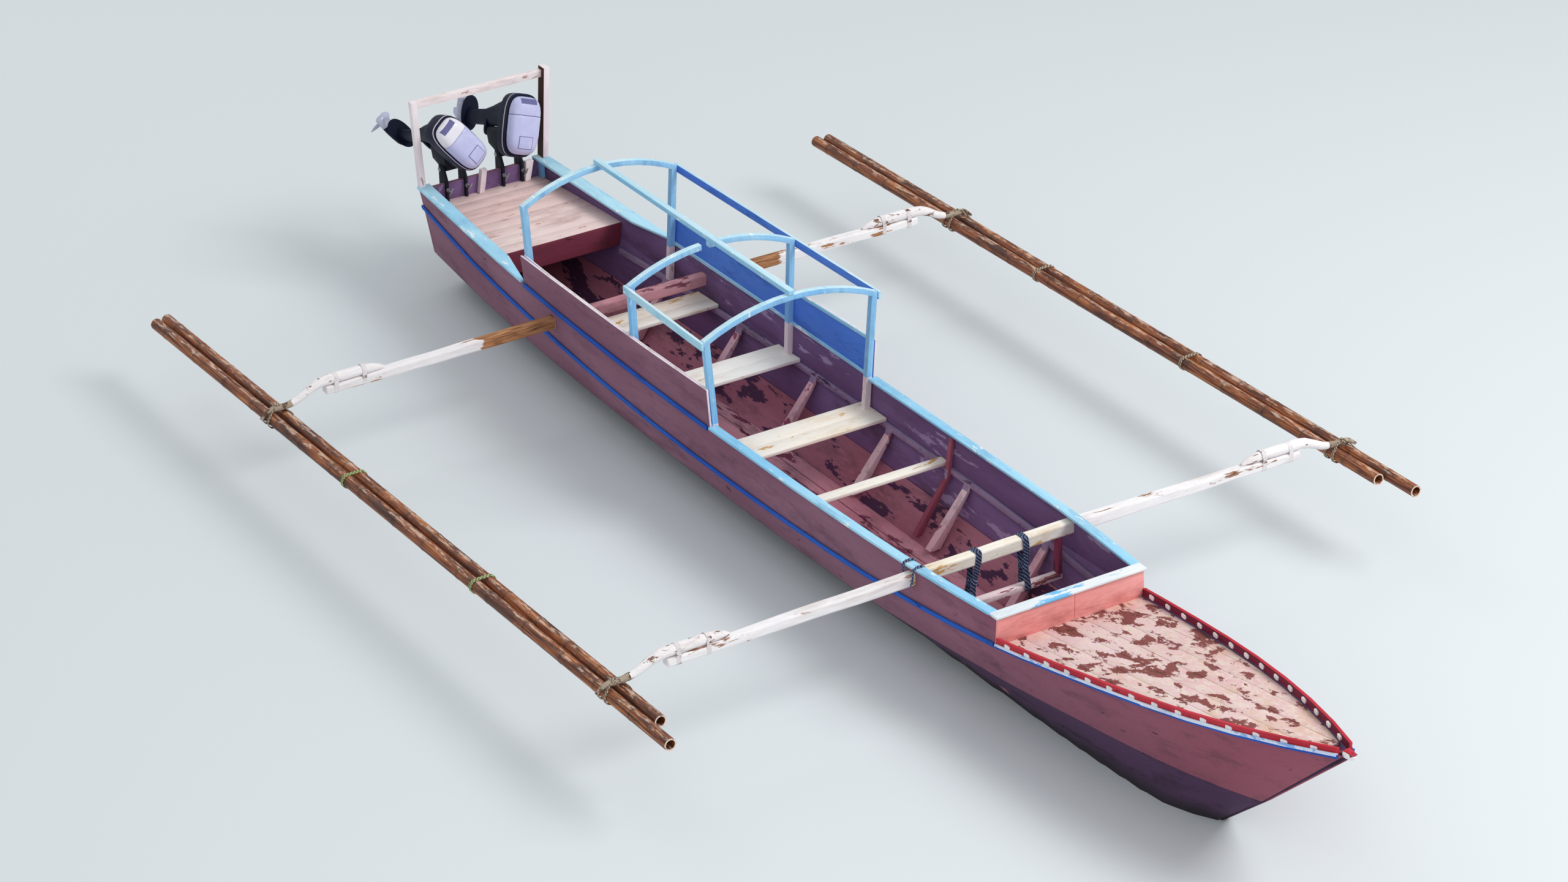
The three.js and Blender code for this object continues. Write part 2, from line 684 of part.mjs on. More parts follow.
// Raised side panels of the cabin zone
function addCabinPanels() {
  const panel = plank(cabinRun, 1, 2, SIDE_THICK, PANEL_START_X, BOW_X.front + BOW_WIDE / 2);
  piece("cabin_panel_port", panel, paint("panel"));
  piece("cabin_panel_stbd", mirrored(panel), paint("topside"));
}

// Foot of the outer face of a bow's post at the riser, so that the post clears planks and panel
function postFootY(x, topY) {
  const low = SEAT_Z - SEAT_THICK;
  const limits = [x - BOW_WIDE / 2, x + BOW_WIDE / 2].flatMap((u) => {
    const walls = insetRun(cabinRun(u), SIDE_THICK).map((p) => [p.z, p.y]);
    return [[low, innerY(u, low)], ...walls.filter(([z]) => z > low)];
  });
  const feet = limits.map(([z, y]) => {
    const room = y - POST_EASE - topY;
    return topY + (room * (BOW_EAVE_Z - low)) / (BOW_EAVE_Z - z);
  });
  return Math.min(...feet);
}

// Arc of a bow's roof from one y to another, at a depth below its outer edge
function roofArc(topY, inset, fromY, toY) {
  const rise = BOW_CROWN_Z - BOW_EAVE_Z;
  const radius = (topY * topY + rise * rise) / (2 * rise);
  const centre = BOW_CROWN_Z - radius;
  return steps(fromY, toY, BOW_ROOF_STEPS + 1).map((y) => {
    const r = radius - inset;
    return [y, centre + Math.sqrt(r * r - y * y)];
  });
}

// One bow of the cabin frame: posts on the given sides and the roof between two places
function bowGeometry(x, topY, footZ, fromY, toY) {
  const low = SEAT_Z - SEAT_THICK;
  const footY = postFootY(x, topY);
  const yAt = (z) => footY + ((topY - footY) * (z - low)) / (BOW_EAVE_Z - low);
  const across = (outline) => crossPlate(outline, x - BOW_WIDE / 2, x + BOW_WIDE / 2);
  const parts = [across([...roofArc(topY, 0, fromY, toY), ...roofArc(topY, BOW_DEEP, toY, fromY)])];
  for (const side of [1, -1]) {
    if (Math.max(side * toY, side * fromY) < topY) continue;
    parts.push(across([
      [side * yAt(footZ), footZ], [side * topY, BOW_EAVE_Z],
      [side * (topY - POST_DEEP), BOW_EAVE_Z], [side * (yAt(footZ) - POST_DEEP), footZ],
    ]));
  }
  return fused(parts);
}

// Three bows, the ridge bar and the top rails; the middle bow is broken, and its starboard rail aft is gone
function addCabinFrame() {
  const seatTop = SEAT_Z + GAP;
  const riserTop = SEAT_Z - SEAT_THICK + GAP;
  const { aft, mid, front } = BOW_TOP_Y;
  // Columns: name, x, y of the eave, z of the foot, y where the roof starts, y where it ends
  const bows = [
    ["aft", BOW_X.aft, aft, riserTop, -aft, aft],
    ["front", BOW_X.front, front, seatTop, -front, front],
    ["mid_port", BOW_X.mid, mid, seatTop, MID_BOW_PORT_END_Y, mid],
    ["mid_stbd", BOW_X.mid, mid, seatTop, -mid, BROKEN_BOW_END_Y],
  ];
  for (const [name, ...sizes] of bows) piece(`cabin_bow_${name}`, bowGeometry(...sizes), paint("lightBlue"));
  const ridge = boxFrom(BOW_X.aft - RIDGE_OVERHANG, BOW_X.front + RIDGE_OVERHANG,
    -RIDGE_WIDE / 2, RIDGE_WIDE / 2, BOW_CROWN_Z + GAP, BOW_CROWN_Z + RIDGE_DEEP);
  piece("ridge", ridge, paint("lightBlue"));
  const rail = (from) => loft([from - TOP_RAIL_OVERHANG, BOW_X.front + TOP_RAIL_OVERHANG].map((x) => {
    const y = railY(x) + 3 * GAP;
    return rectRing(x, y, y + TOP_RAIL_THICK, BOW_EAVE_Z - TOP_RAIL_DEEP, BOW_EAVE_Z);
  }));
  piece("top_rail_port", rail(BOW_X.aft), paint("lightBlue"));
  piece("top_rail_stbd", mirrored(rail(BOW_X.mid)), paint("lightBlue"));
}

// Outer face of the bows' tops along the cabin, as one straight line that clears all three
function railY(x) {
  const slope = (BOW_TOP_Y.front - BOW_TOP_Y.aft) / (BOW_X.front - BOW_X.aft);
  const midOver = BOW_TOP_Y.mid - (BOW_TOP_Y.aft + slope * (BOW_X.mid - BOW_X.aft));
  return BOW_TOP_Y.aft + Math.max(midOver, 0) + slope * (x - BOW_X.aft);
}

// Seat boards that rest on the risers
function addSeats() {
  for (const [name, x0, x1] of SEATS) {
    const low = SEAT_Z - SEAT_THICK + GAP;
    const y = (x) => Math.min(innerY(x, low), innerY(x, SEAT_Z)) - SEAT_EASE;
    piece(name, loft([x0, x1].map((x) => rectRing(x, -y(x), y(x), low, SEAT_Z))), paint("cream"));
  }
}

// Outer face of the riser at x
function riserY(x) {
  const top = SEAT_Z - SEAT_THICK;
  return Math.min(innerY(x, top), innerY(x, top - RISER_DEEP)) - RISER_EASE;
}

// Pointed frame arm that leans on the riser's inner face
function armGeometry(x) {
  const top = SEAT_Z - SEAT_THICK;
  const y = riserY(x) - RISER_THICK + LAP;
  const footY = innerY(x, ARM_FOOT_Z, BOTTOM_THICK) - ARM_FOOT_EASE;
  const outline = [
    [y, top - ARM_TIP_DROP], [y - ARM_THICK, top - ARM_SHOULDER_DROP],
    [footY - ARM_FOOT_LONG, ARM_FOOT_Z], [footY, ARM_FOOT_Z], [y, top - ARM_NECK_DROP],
  ];
  return crossPlate(outline, x - ARM_WIDE / 2, x + ARM_WIDE / 2);
}

// The rib that leans on the riser as the arms do and runs on up the wash plank
function ribGeometry() {
  const top = SEAT_Z - SEAT_THICK;
  const y = riserY(RIB_X) - RISER_THICK + LAP;
  const footY = innerY(RIB_X, ARM_FOOT_Z, BOTTOM_THICK) - ARM_FOOT_EASE;
  const headY = innerY(RIB_X, RIB_TOP_Z) - RIB_HEAD_EASE;
  const outline = [
    [footY - RIB_FOOT_LONG, ARM_FOOT_Z], [footY, ARM_FOOT_Z], [y, top - ARM_NECK_DROP], [y, top],
    [headY, RIB_TOP_Z], [headY - RIB_HEAD_THICK, RIB_TOP_Z],
    [y - RIB_NECK_THICK, top], [y - RIB_WAIST_THICK, top - ARM_SHOULDER_DROP],
  ];
  return crossPlate(outline, RIB_X - RIB_WIDE / 2, RIB_X + RIB_WIDE / 2);
}

// Risers along the inside of the planks, each with its frame arms, and the tall rib on the port one
function addRisers() {
  const top = SEAT_Z - SEAT_THICK;
  const riser = loft(stations(RISER_START_X, RISER_END_X).map((x) => {
    const y = riserY(x);
    return rectRing(x, y - RISER_THICK, y, top - RISER_DEEP, top);
  }));
  const arms = FRAME_XS.filter((x) => x > RISER_START_X).map(armGeometry);
  const body = fused([riser, ...arms]);
  piece("riser_port", fused([body, ribGeometry()]), paint("inside"));
  piece("riser_stbd", mirrored(body), paint("inside"));
}

// One floor timber across the bottom, notched over the keel
function timberGeometry(x) {
  const top = FLOOR_Z - FLOOR_THICK - GAP;
  const keelTop = linePoint(GARBOARD, x).z + KEEL_TOP_RISE + FRAME_KEEL_EASE;
  const [low, bilge] = insetRun(hullRun(x), BOTTOM_THICK + FRAME_EASE);
  const half = [[FRAME_NOTCH_HALF, Math.max(keelTop, low.z + FRAME_NOTCH_RISE)], [bilge.y, bilge.z]];
  if (top > bilge.z) half.push([innerY(x, top, BOTTOM_THICK + FRAME_EASE), top]);
  return crossPlate([...half, ...otherSide(half)], x - FRAME_THICK / 2, x + FRAME_THICK / 2);
}

// Floor timbers, the keelson that joins them, and the boards on top
function addFloor() {
  const ends = [FRAME_XS[0] - KEELSON_OVERHANG, FRAME_XS[FRAME_XS.length - 1] + KEELSON_OVERHANG];
  const keelson = loft(stations(...ends).map((x) => {
    const z = linePoint(GARBOARD, x).z + KEEL_TOP_RISE + GAP;
    return rectRing(x, -KEELSON_HALF, KEELSON_HALF, z, z + KEELSON_DEEP);
  }));
  piece("floor_timbers", fused([...FRAME_XS.map(timberGeometry), keelson]), paint("inside"));
  const low = FLOOR_Z - FLOOR_THICK;
  const boards = loft(stations(FLOOR_START_X, FLOOR_END_X).map((x) => {
    const y = innerY(x, low, BOTTOM_THICK) - FLOOR_EASE;
    return rectRing(x, -y, y, low, FLOOR_Z);
  }));
  piece("floor_boards", boards, paint("maroon"));
}

// Crossbeam, straight on each side of its bend, grown by a clearance
function beamGeometry({ x, rootZ, tipZ }, grow = 0) {
  // Columns: y, z of the top, z of the underside
  const rows = [
    [BEAM_BEND_Y, rootZ, rootZ - BEAM_DEEP],
    [BEAM_HALF_LENGTH, tipZ, tipZ - BEAM_TIP_DEEP],
  ];
  const top = rows.map(([y, z]) => [y, z + grow]);
  const low = rows.map(([y, , z]) => [y, z - grow]).reverse();
  const outline = [...otherSide(top), ...top, ...low, ...otherSide(low)];
  return crossPlate(outline, x - BEAM_WIDE / 2 - grow, x + BEAM_WIDE / 2 + grow);
}

// Tie under a beam and its two uprights
function tieGeometries({ x, rootZ }) {
  const top = TIE_LOW_Z + TIE_DEEP;
  const tie = boxFrom(x - TIE_WIDE / 2, x + TIE_WIDE / 2, -TIE_HALF_LENGTH, TIE_HALF_LENGTH, TIE_LOW_Z, top);
  const [x0, x1] = [x - UPRIGHT_WIDE / 2, x + UPRIGHT_WIDE / 2];
  const uprights = [[UPRIGHT_INNER_Y, UPRIGHT_OUTER_Y], [-UPRIGHT_OUTER_Y, -UPRIGHT_INNER_Y]]
    .map(([y0, y1]) => boxFrom(x0, x1, y0, y1, top - LAP, rootZ - BEAM_DEEP + LAP));
  return [tie, ...uprights];
}

// Height of a float pole's axis at x
function poleZ(x) {
  return POLE_AFT_Z + POLE_SLOPE * (x - POLE_AFT_X);
}

// Bent branch that lies on the beam's end and hooks over the float, on flat undersides
function crookGeometry({ x, rootZ, tipZ }) {
  const floatTop = poleZ(x) + POLE_R + CROOK_FLOAT_EASE;
  const fall = (rootZ - tipZ) / (BEAM_HALF_LENGTH - BEAM_BEND_Y);
  const beamTop = (y) => tipZ + fall * Math.max(BEAM_HALF_LENGTH - y, 0) + GAP;
  const rings = CROOK.map(([y, radius, share]) => {
    const low = THREE.MathUtils.lerp(beamTop(y), floatTop, share);
    const middle = low + radius * Math.cos(Math.PI / CROOK_SIDES);
    return Array.from({ length: CROOK_SIDES }, (_, i) => {
      const angle = (i * 2 * Math.PI) / CROOK_SIDES;
      return new THREE.Vector3(y, radius * Math.cos(angle), middle + radius * Math.sin(angle));
    });
  });
  return loft(rings).rotateZ(Math.PI / 2).translate(x, 0, 0);
}

// Crossbeams through the hull, the front one with its tie, and the four crooks
function addOutriggerBeams() {
  piece("crossbeam_front", fused([beamGeometry(BEAM.front), ...tieGeometries(BEAM.front)]), paint("beam"));
  piece("crossbeam_rear", beamGeometry(BEAM.rear), paint("beam"));
  for (const [name, spec] of Object.entries(BEAM)) pair(`crook_${name}`, crookGeometry(spec), "beam");
}

// Bamboo pole along X with hollow ends
function poleGeometry(y, from, to) {
  const length = to - from;
  // Columns: radius, distance from the aft end
  const profile = [
    [0, POLE_BORE_DEPTH], [POLE_BORE_R, POLE_BORE_DEPTH], [POLE_BORE_R, 0], [POLE_R, 0],
    [POLE_R, length], [POLE_BORE_R, length], [POLE_BORE_R, length - POLE_BORE_DEPTH],
    [0, length - POLE_BORE_DEPTH],
  ];
  const lathe = new THREE.LatheGeometry(profile.map(([r, h]) => new THREE.Vector2(r, h)), POLE_SIDES);
  lathe.rotateZ(-Math.PI / 2);
  lathe.rotateY(-Math.atan(POLE_SLOPE));
  return lathe.translate(from, y, poleZ(from));
}

// Lashing band around both poles of a float
function lashingGeometry(x) {
  const z = poleZ(x);
  const r = POLE_R + LASHING_R;
  const quarter = Math.PI / 2;
  const band = new THREE.Shape();
  band.moveTo(POLE_INNER_Y, z - r);
  band.lineTo(POLE_OUTER_Y, z - r);
  band.absarc(POLE_OUTER_Y, z, r, -quarter, quarter, false);
  band.lineTo(POLE_INNER_Y, z + r);
  band.absarc(POLE_INNER_Y, z, r, quarter, 3 * quarter, false);
  return acrossX(band, x - LASHING_WIDE / 2, x + LASHING_WIDE / 2);
}

// Each float: two poles joined by lashings, two beside each crook and two ties between the beams
function addFloats() {
  const atCrooks = Object.values(BEAM).flatMap(({ x }) => [x - LASHING_FROM_CROOK, x + LASHING_FROM_CROOK]);
  const poles = POLES.map((row) => poleGeometry(...row));
  pair("float", fused([...poles, ...[...atCrooks, ...TIE_XS].map(lashingGeometry)]), "bamboo");
}

// Stern deck with its front face
function sternDeckGeometry() {
  const low = STERN_DECK_Z - STERN_DECK_THICK;
  const half = (x, z) => innerY(x, z) - STERN_DECK_EASE;
  const deck = loft(stations(PLANK_START_X, STERN_DECK_FRONT_X).map((x) => {
    const y = half(x, low);
    return rectRing(x, -y, y, low, STERN_DECK_Z);
  }));
  const x = STERN_DECK_FRONT_X;
  const foot = low - STERN_FACE_DEEP;
  const edge = [[half(x, foot) - LAP, foot], [half(x, low) - LAP, low + LAP]];
  return fused([deck, crossPlate([...edge, ...otherSide(edge)], x - STERN_FACE_THICK, x)]);
}

// Post frame on the stern quarters, over the motors
function sternPostsGeometry() {
  const foot = linePoint(WASH_TOP, TRANSOM_X).z + CAP_THICK + 2 * GAP;
  const posts = STERN_POSTS.map(([side, deep, top]) => {
    const outline = [
      [side * (POST_FOOT_Y - POST_WIDE / 2), foot], [side * (POST_FOOT_Y + POST_WIDE / 2), foot],
      [side * (POST_TOP_Y + POST_WIDE / 2), top], [side * (POST_TOP_Y - POST_WIDE / 2), top],
    ];
    return crossPlate(outline, TRANSOM_X, TRANSOM_X + deep);
  });
  const aft = TRANSOM_X + BAR_INSET;
  const bar = boxFrom(aft, aft + BAR_WIDE, -POST_TOP_Y, POST_TOP_Y, BAR_TOP_Z - BAR_DEEP, BAR_TOP_Z);
  return fused([...posts, bar]);
}

// Stern deck and the posts behind it
function addStern() {
  piece("stern_deck", sternDeckGeometry(), paint("deck"));
  piece("stern_posts", sternPostsGeometry(), paint("pinkWhite"));
}

// Clamp bracket that hooks over the transom and holds the tilt tube
function clampGeometry() {
  const top = smooth(WASH_TOP, TRANSOM_X, 2) - TILT_Z;
  const aftFace = TRANSOM_X - TILT_X;
  const foreFace = aftFace + TRANSOM_THICK;
  const outline = [
    [-CLAMP_REACH, CLAMP_TOP], [CLAMP_REACH, CLAMP_TOP], [foreFace + CLAMP_REACH, top + CLAMP_HOOK_RISE],
    [foreFace + CLAMP_REACH, top - CLAMP_FORE_DEEP], [foreFace + GAP, top - CLAMP_FORE_DEEP],
    [foreFace + GAP, top + GAP], [aftFace - GAP, top + GAP], [aftFace - GAP, top - CLAMP_AFT_DEEP],
    [-CLAMP_REACH, top - CLAMP_AFT_DEEP],
  ];
  const plates = [[CLAMP_INNER_Y, CLAMP_OUTER_Y], [-CLAMP_OUTER_Y, -CLAMP_INNER_Y]]
    .map(([y0, y1]) => sidePlate(outline, y0, y1));
  const half = (CLAMP_INNER_Y + CLAMP_OUTER_Y) / 2;
  const tube = new THREE.CylinderGeometry(TILT_PIN_R, TILT_PIN_R, 2 * half, 16);
  const low = top - CLAMP_AFT_DEEP;
  const web = boxFrom(-CLAMP_REACH, aftFace - GAP, -half, half, low, low + CLAMP_WEB_DEEP);
  return fused([...plates, tube, web]);
}

// Swivel bracket on the tilt tube, with the steering tube
function swivelGeometry() {
  const lug = sidePlate(SWIVEL, -SWIVEL_HALF, SWIVEL_HALF);
  const bore = new THREE.CylinderGeometry(TILT_BORE_R, TILT_BORE_R, 4 * SWIVEL_HALF, 16);
  const tubeLength = STEER_TUBE_HIGH - STEER_TUBE_LOW;
  const steerTube = new THREE.CylinderGeometry(STEER_TUBE_R, STEER_TUBE_R, tubeLength, 18);
  steerTube.rotateX(Math.PI / 2).translate(STEER_X, 0, (STEER_TUBE_HIGH + STEER_TUBE_LOW) / 2);
  const { aft, fore, half, low, high } = SWIVEL_NOTCH;
  const notch = boxFrom(STEER_X - aft, STEER_X - fore, -half, half, low, high);
  return fused([cut(lug, [bore, notch]), steerTube]);
}

// Upright body with an oval section
function ovalGeometry({ x, halfLong, halfWide, low, high }, curveSegments) {
  const shape = new THREE.Shape();
  shape.absellipse(x, 0, halfLong, halfWide, 0, Math.PI * 2, false);
  const body = new THREE.ExtrudeGeometry(shape, { depth: high - low, bevelEnabled: false, curveSegments });
  return body.translate(0, 0, low);
}

// Leg with its yokes, plate, gearcase, skeg and engine pan
function legGeometry() {
  const yokes = [STEER_TUBE_HIGH + GAP, STEER_TUBE_LOW - GAP - YOKE_DEEP]
    .map((z) => boxFrom(LEG_X - YOKE_AFT, STEER_X + YOKE_FORE, -YOKE_HALF, YOKE_HALF, z, z + YOKE_DEEP));
  const gearcase = new THREE.LatheGeometry(GEARCASE.map(([r, h]) => new THREE.Vector2(r, h)), 12);
  gearcase.rotateZ(Math.PI / 2).translate(LEG_X, 0, PROP_Z);
  const skeg = sidePlate(SKEG.map(([x, z]) => [LEG_X + x, PROP_Z + z]), -SKEG_HALF, SKEG_HALF);
  const leg = ovalGeometry({ x: LEG_X, ...LEG }, 6);
  return fused([leg, ...yokes, ovalGeometry(PLATE, 6), gearcase, skeg, ovalGeometry(PAN, 8)]);
}

// Engine cowl: lofted sections from front to back
function cowlGeometry() {
  return loft(COWL.map(([x, width, low, high]) => {
    const half = COWL_SECTION.map(([out, up]) => [width * out, low + (high - low) * up]);
    return [...half, ...otherSide(half)].map(([y, z]) => new THREE.Vector3(x, y, z));
  }));
}

// Propeller: hub and flat twisted blades
function propGeometry() {
  const x = LEG_X - GEARCASE_AFT - GAP - HUB.length / 2;
  const hub = new THREE.CylinderGeometry(HUB.foreR, HUB.aftR, HUB.length, 14);
  hub.rotateZ(-Math.PI / 2).translate(x, 0, PROP_Z);
  const { count, middle, halfChord, halfSpan, thick, twist } = BLADE;
  const blades = Array.from({ length: count }, (_, i) => {
    const shape = new THREE.Shape();
    shape.absellipse(0, middle, halfChord, halfSpan, 0, Math.PI * 2, false);
    const blade = new THREE.ExtrudeGeometry(shape, { depth: thick, bevelEnabled: false, curveSegments: 5 });
    blade.translate(0, 0, -thick / 2).rotateY(Math.PI / 2 - twist);
    return blade.rotateX((i * Math.PI * 2) / count).translate(x, 0, PROP_Z);
  });
  return fused([hub, ...blades]);
}

// Adds a group inside another, at a place
function frameAt(x, y, z, parent) {
  const frame = new THREE.Group();
  frame.position.set(x, y, z);
  parent.add(frame);
  return frame;
}

// Both motors: the clamp stays, the swivel tilts, and leg, cowl and propeller also steer
function addMotors() {
  for (const [side, y] of Object.entries(MOTOR_Y)) {
    const mount = frameAt(TILT_X, y, TILT_Z, canoe);
    piece(`clamp_${side}`, clampGeometry(), paint("metal", 0.5, 0.6), mount);
    const tilting = frameAt(0, 0, 0, mount);
    tilting.rotation.y = THREE.MathUtils.degToRad(TILT_UP);
    piece(`swivel_${side}`, swivelGeometry(), paint("metal", 0.5, 0.6), tilting);
    const steering = frameAt(STEER_X, 0, 0, tilting);
    steering.rotation.z = THREE.MathUtils.degToRad(-STEER_REST[side]);
    const body = frameAt(-STEER_X, 0, 0, steering);
    piece(`motor_leg_${side}`, legGeometry(), paint("navy", 0.4), body);
    piece(`cowl_${side}`, cowlGeometry(), paint("lavender", 0.35), body);
    piece(`propeller_${side}`, propGeometry(), paint("metal", 0.4, 0.5), body);
  }
}

addKeel();
addPlanking();
addTransom();
addRails();
addForedeck();
addCoaming();
addCaps();
addCabinPanels();
addCabinFrame();
addSeats();
addRisers();
addFloor();
addOutriggerBeams();
addFloats();
addStern();
addMotors();

export default canoe;
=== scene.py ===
import logging
import math
import random
from collections.abc import Callable
from dataclasses import dataclass
from enum import Enum
from statistics import NormalDist

import bmesh
import bpy
from mathutils import Matrix, Vector, noise


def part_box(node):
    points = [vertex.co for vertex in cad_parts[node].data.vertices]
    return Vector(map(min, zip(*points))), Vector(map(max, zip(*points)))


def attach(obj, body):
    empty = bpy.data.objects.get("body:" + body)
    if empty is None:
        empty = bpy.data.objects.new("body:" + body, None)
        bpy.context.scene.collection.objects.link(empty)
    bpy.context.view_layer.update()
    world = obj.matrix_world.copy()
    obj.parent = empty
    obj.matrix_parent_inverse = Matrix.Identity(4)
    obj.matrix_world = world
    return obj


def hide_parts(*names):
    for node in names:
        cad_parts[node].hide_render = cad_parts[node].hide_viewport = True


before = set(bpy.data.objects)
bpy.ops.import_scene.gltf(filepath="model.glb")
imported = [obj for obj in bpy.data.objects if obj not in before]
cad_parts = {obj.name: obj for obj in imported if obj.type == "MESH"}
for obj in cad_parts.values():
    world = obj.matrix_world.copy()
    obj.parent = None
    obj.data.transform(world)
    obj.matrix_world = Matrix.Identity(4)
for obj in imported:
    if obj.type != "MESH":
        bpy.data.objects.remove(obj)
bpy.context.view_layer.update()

log = logging.getLogger("canoe")

SIDES = {"port": 1, "stbd": -1}
MM = 0.001
X_AXIS, Y_AXIS, Z_AXIS = Vector((1, 0, 0)), Vector((0, 1, 0)), Vector((0, 0, 1))
# Points nearer than this are one, and so are faces that meet at less than this in degrees
MERGE_WITHIN = 0.01 * MM
FLAT_WITHIN = 0.4

Tree = bpy.types.NodeTree
Node = bpy.types.Node
Socket = bpy.types.NodeSocket
Piece = bpy.types.Object
Place = Vector | tuple[float, float, float]
# Says of a face's centre and normal whether a coat goes over it
FaceTest = Callable[[Vector, Vector], bool]


class Grain(Enum):
    """The way that the fibres of a board run."""

    FORE_AND_AFT = 0
    ATHWART = 1
    UPRIGHT = 2


# Colours and nodes


def linear(code: str) -> tuple[float, float, float, float]:
    """Turns an sRGB hex code into a linear colour.

    Args:
        code: Six hex digits after a hash sign.

    Returns:
        Red, green, blue and an alpha of one.
    """
    parts = [int(code[i : i + 2], 16) / 255 for i in (1, 3, 5)]
    values = [c / 12.92 if c <= 0.04045 else ((c + 0.055) / 1.055) ** 2.4 for c in parts]
    return (values[0], values[1], values[2], 1.0)


def grey(value: float) -> tuple[float, float, float, float]:
    """A grey of one value, for masks."""
    return (value, value, value, 1.0)


def plug(tree: Tree, node: Node, sockets: dict) -> None:
    """Links a node's inputs to outputs, or sets them to values.

    Args:
        tree: The material's node tree.
        node: The node.
        sockets: Input name or number to a value, or to an output socket to link.
    """
    for key, value in sockets.items():
        if isinstance(value, Socket):
            tree.links.new(value, node.inputs[key])
        else:
            node.inputs[key].default_value = value


def add_node(tree: Tree, kind: str, sockets: dict | None = None,
             **settings: object) -> Node:
    """Adds a shader node with its settings and links.

    Args:
        tree: The material's node tree.
        kind: Blender's name for the node's type, without the word ShaderNode.
        sockets: Input name or number to a value, or to an output socket to link.
        settings: Properties of the node; ramp is a list of (place, colour) stops.

    Returns:
        The new node.
    """
    made = tree.nodes.new("ShaderNode" + kind)
    ramp = settings.pop("ramp", ())
    for name, value in settings.items():
        setattr(made, name, value)
    plug(tree, made, sockets or {})
    for _ in ramp[2:]:
        made.color_ramp.elements.new(0.5)
    for i, (place, colour) in enumerate(ramp):
        made.color_ramp.elements[i].position = place
        made.color_ramp.elements[i].color = colour
    return made


def fresh_material(name: str) -> tuple[bpy.types.Material, Tree, Node]:
    """Makes a material with an empty tree and its shader.

    Args:
        name: The material's name.

    Returns:
        The material, its tree and the shader node that is linked to the output.
    """
    made = bpy.data.materials.new(name)
    made.use_nodes = True
    tree = made.node_tree
    tree.nodes.clear()
    shader = add_node(tree, "BsdfPrincipled")
    add_node(tree, "OutputMaterial", {"Surface": shader.outputs["BSDF"]})
    return made, tree, shader


def lay_over(tree: Tree, value: Socket, under: str | Socket, over: str | Socket,
             ramp: tuple = ()) -> tuple[Socket, Socket]:
    """Lays a second colour over a first.

    Args:
        tree: The node tree.
        value: Socket that says how much of the second colour shows.
        under: The first colour, as a hex code or a socket.
        over: The second colour, as a hex code or a socket.
        ramp: Places and shares that turn the value into a share, where it isn't one yet.

    Returns:
        Socket of the colour, and socket of the share.
    """
    if ramp:
        stops = [(place, grey(share)) for place, share in ramp]
        value = add_node(tree, "ValToRGB", {0: value}, ramp=stops).outputs["Color"]
    first, second = (linear(c) if isinstance(c, str) else c for c in (under, over))
    return add_node(tree, "Mix", {0: value, 6: first, 7: second}, data_type="RGBA").outputs[2], value


# Middle and spread of the values of a fractal noise
FRACTAL_MIDDLE = 0.5
FRACTAL_SPREAD = 0.105


def threshold(share: float) -> float:
    """Level of a fractal noise that the given share of a surface lies above."""
    return FRACTAL_MIDDLE + FRACTAL_SPREAD * NormalDist().inv_cdf(1 - share)


def fineness(size_mm: float) -> float:
    """Scale of a noise whose features are one size across."""
    return 1 / (size_mm * MM)


# Finishes


@dataclass(frozen=True)
class Finish:
    """A surface whose material is made once, from the boat's own coordinates."""

    name: str

    def material(self) -> bpy.types.Material:
        """Makes the material, or gives the one that is there.

        Returns:
            The material.
        """
        if self.name in bpy.data.materials:
            return bpy.data.materials[self.name]
        made, tree, shader = fresh_material(self.name)
        self.dress(tree, shader, add_node(tree, "TexCoord").outputs["Object"])
        return made

    def dress(self, tree: Tree, shader: Node, place: Socket) -> None:
        """Adds the finish's own nodes.

        Args:
            tree: The material's node tree.
            shader: The shader that they feed.
            place: Object coordinates.
        """
        raise NotImplementedError


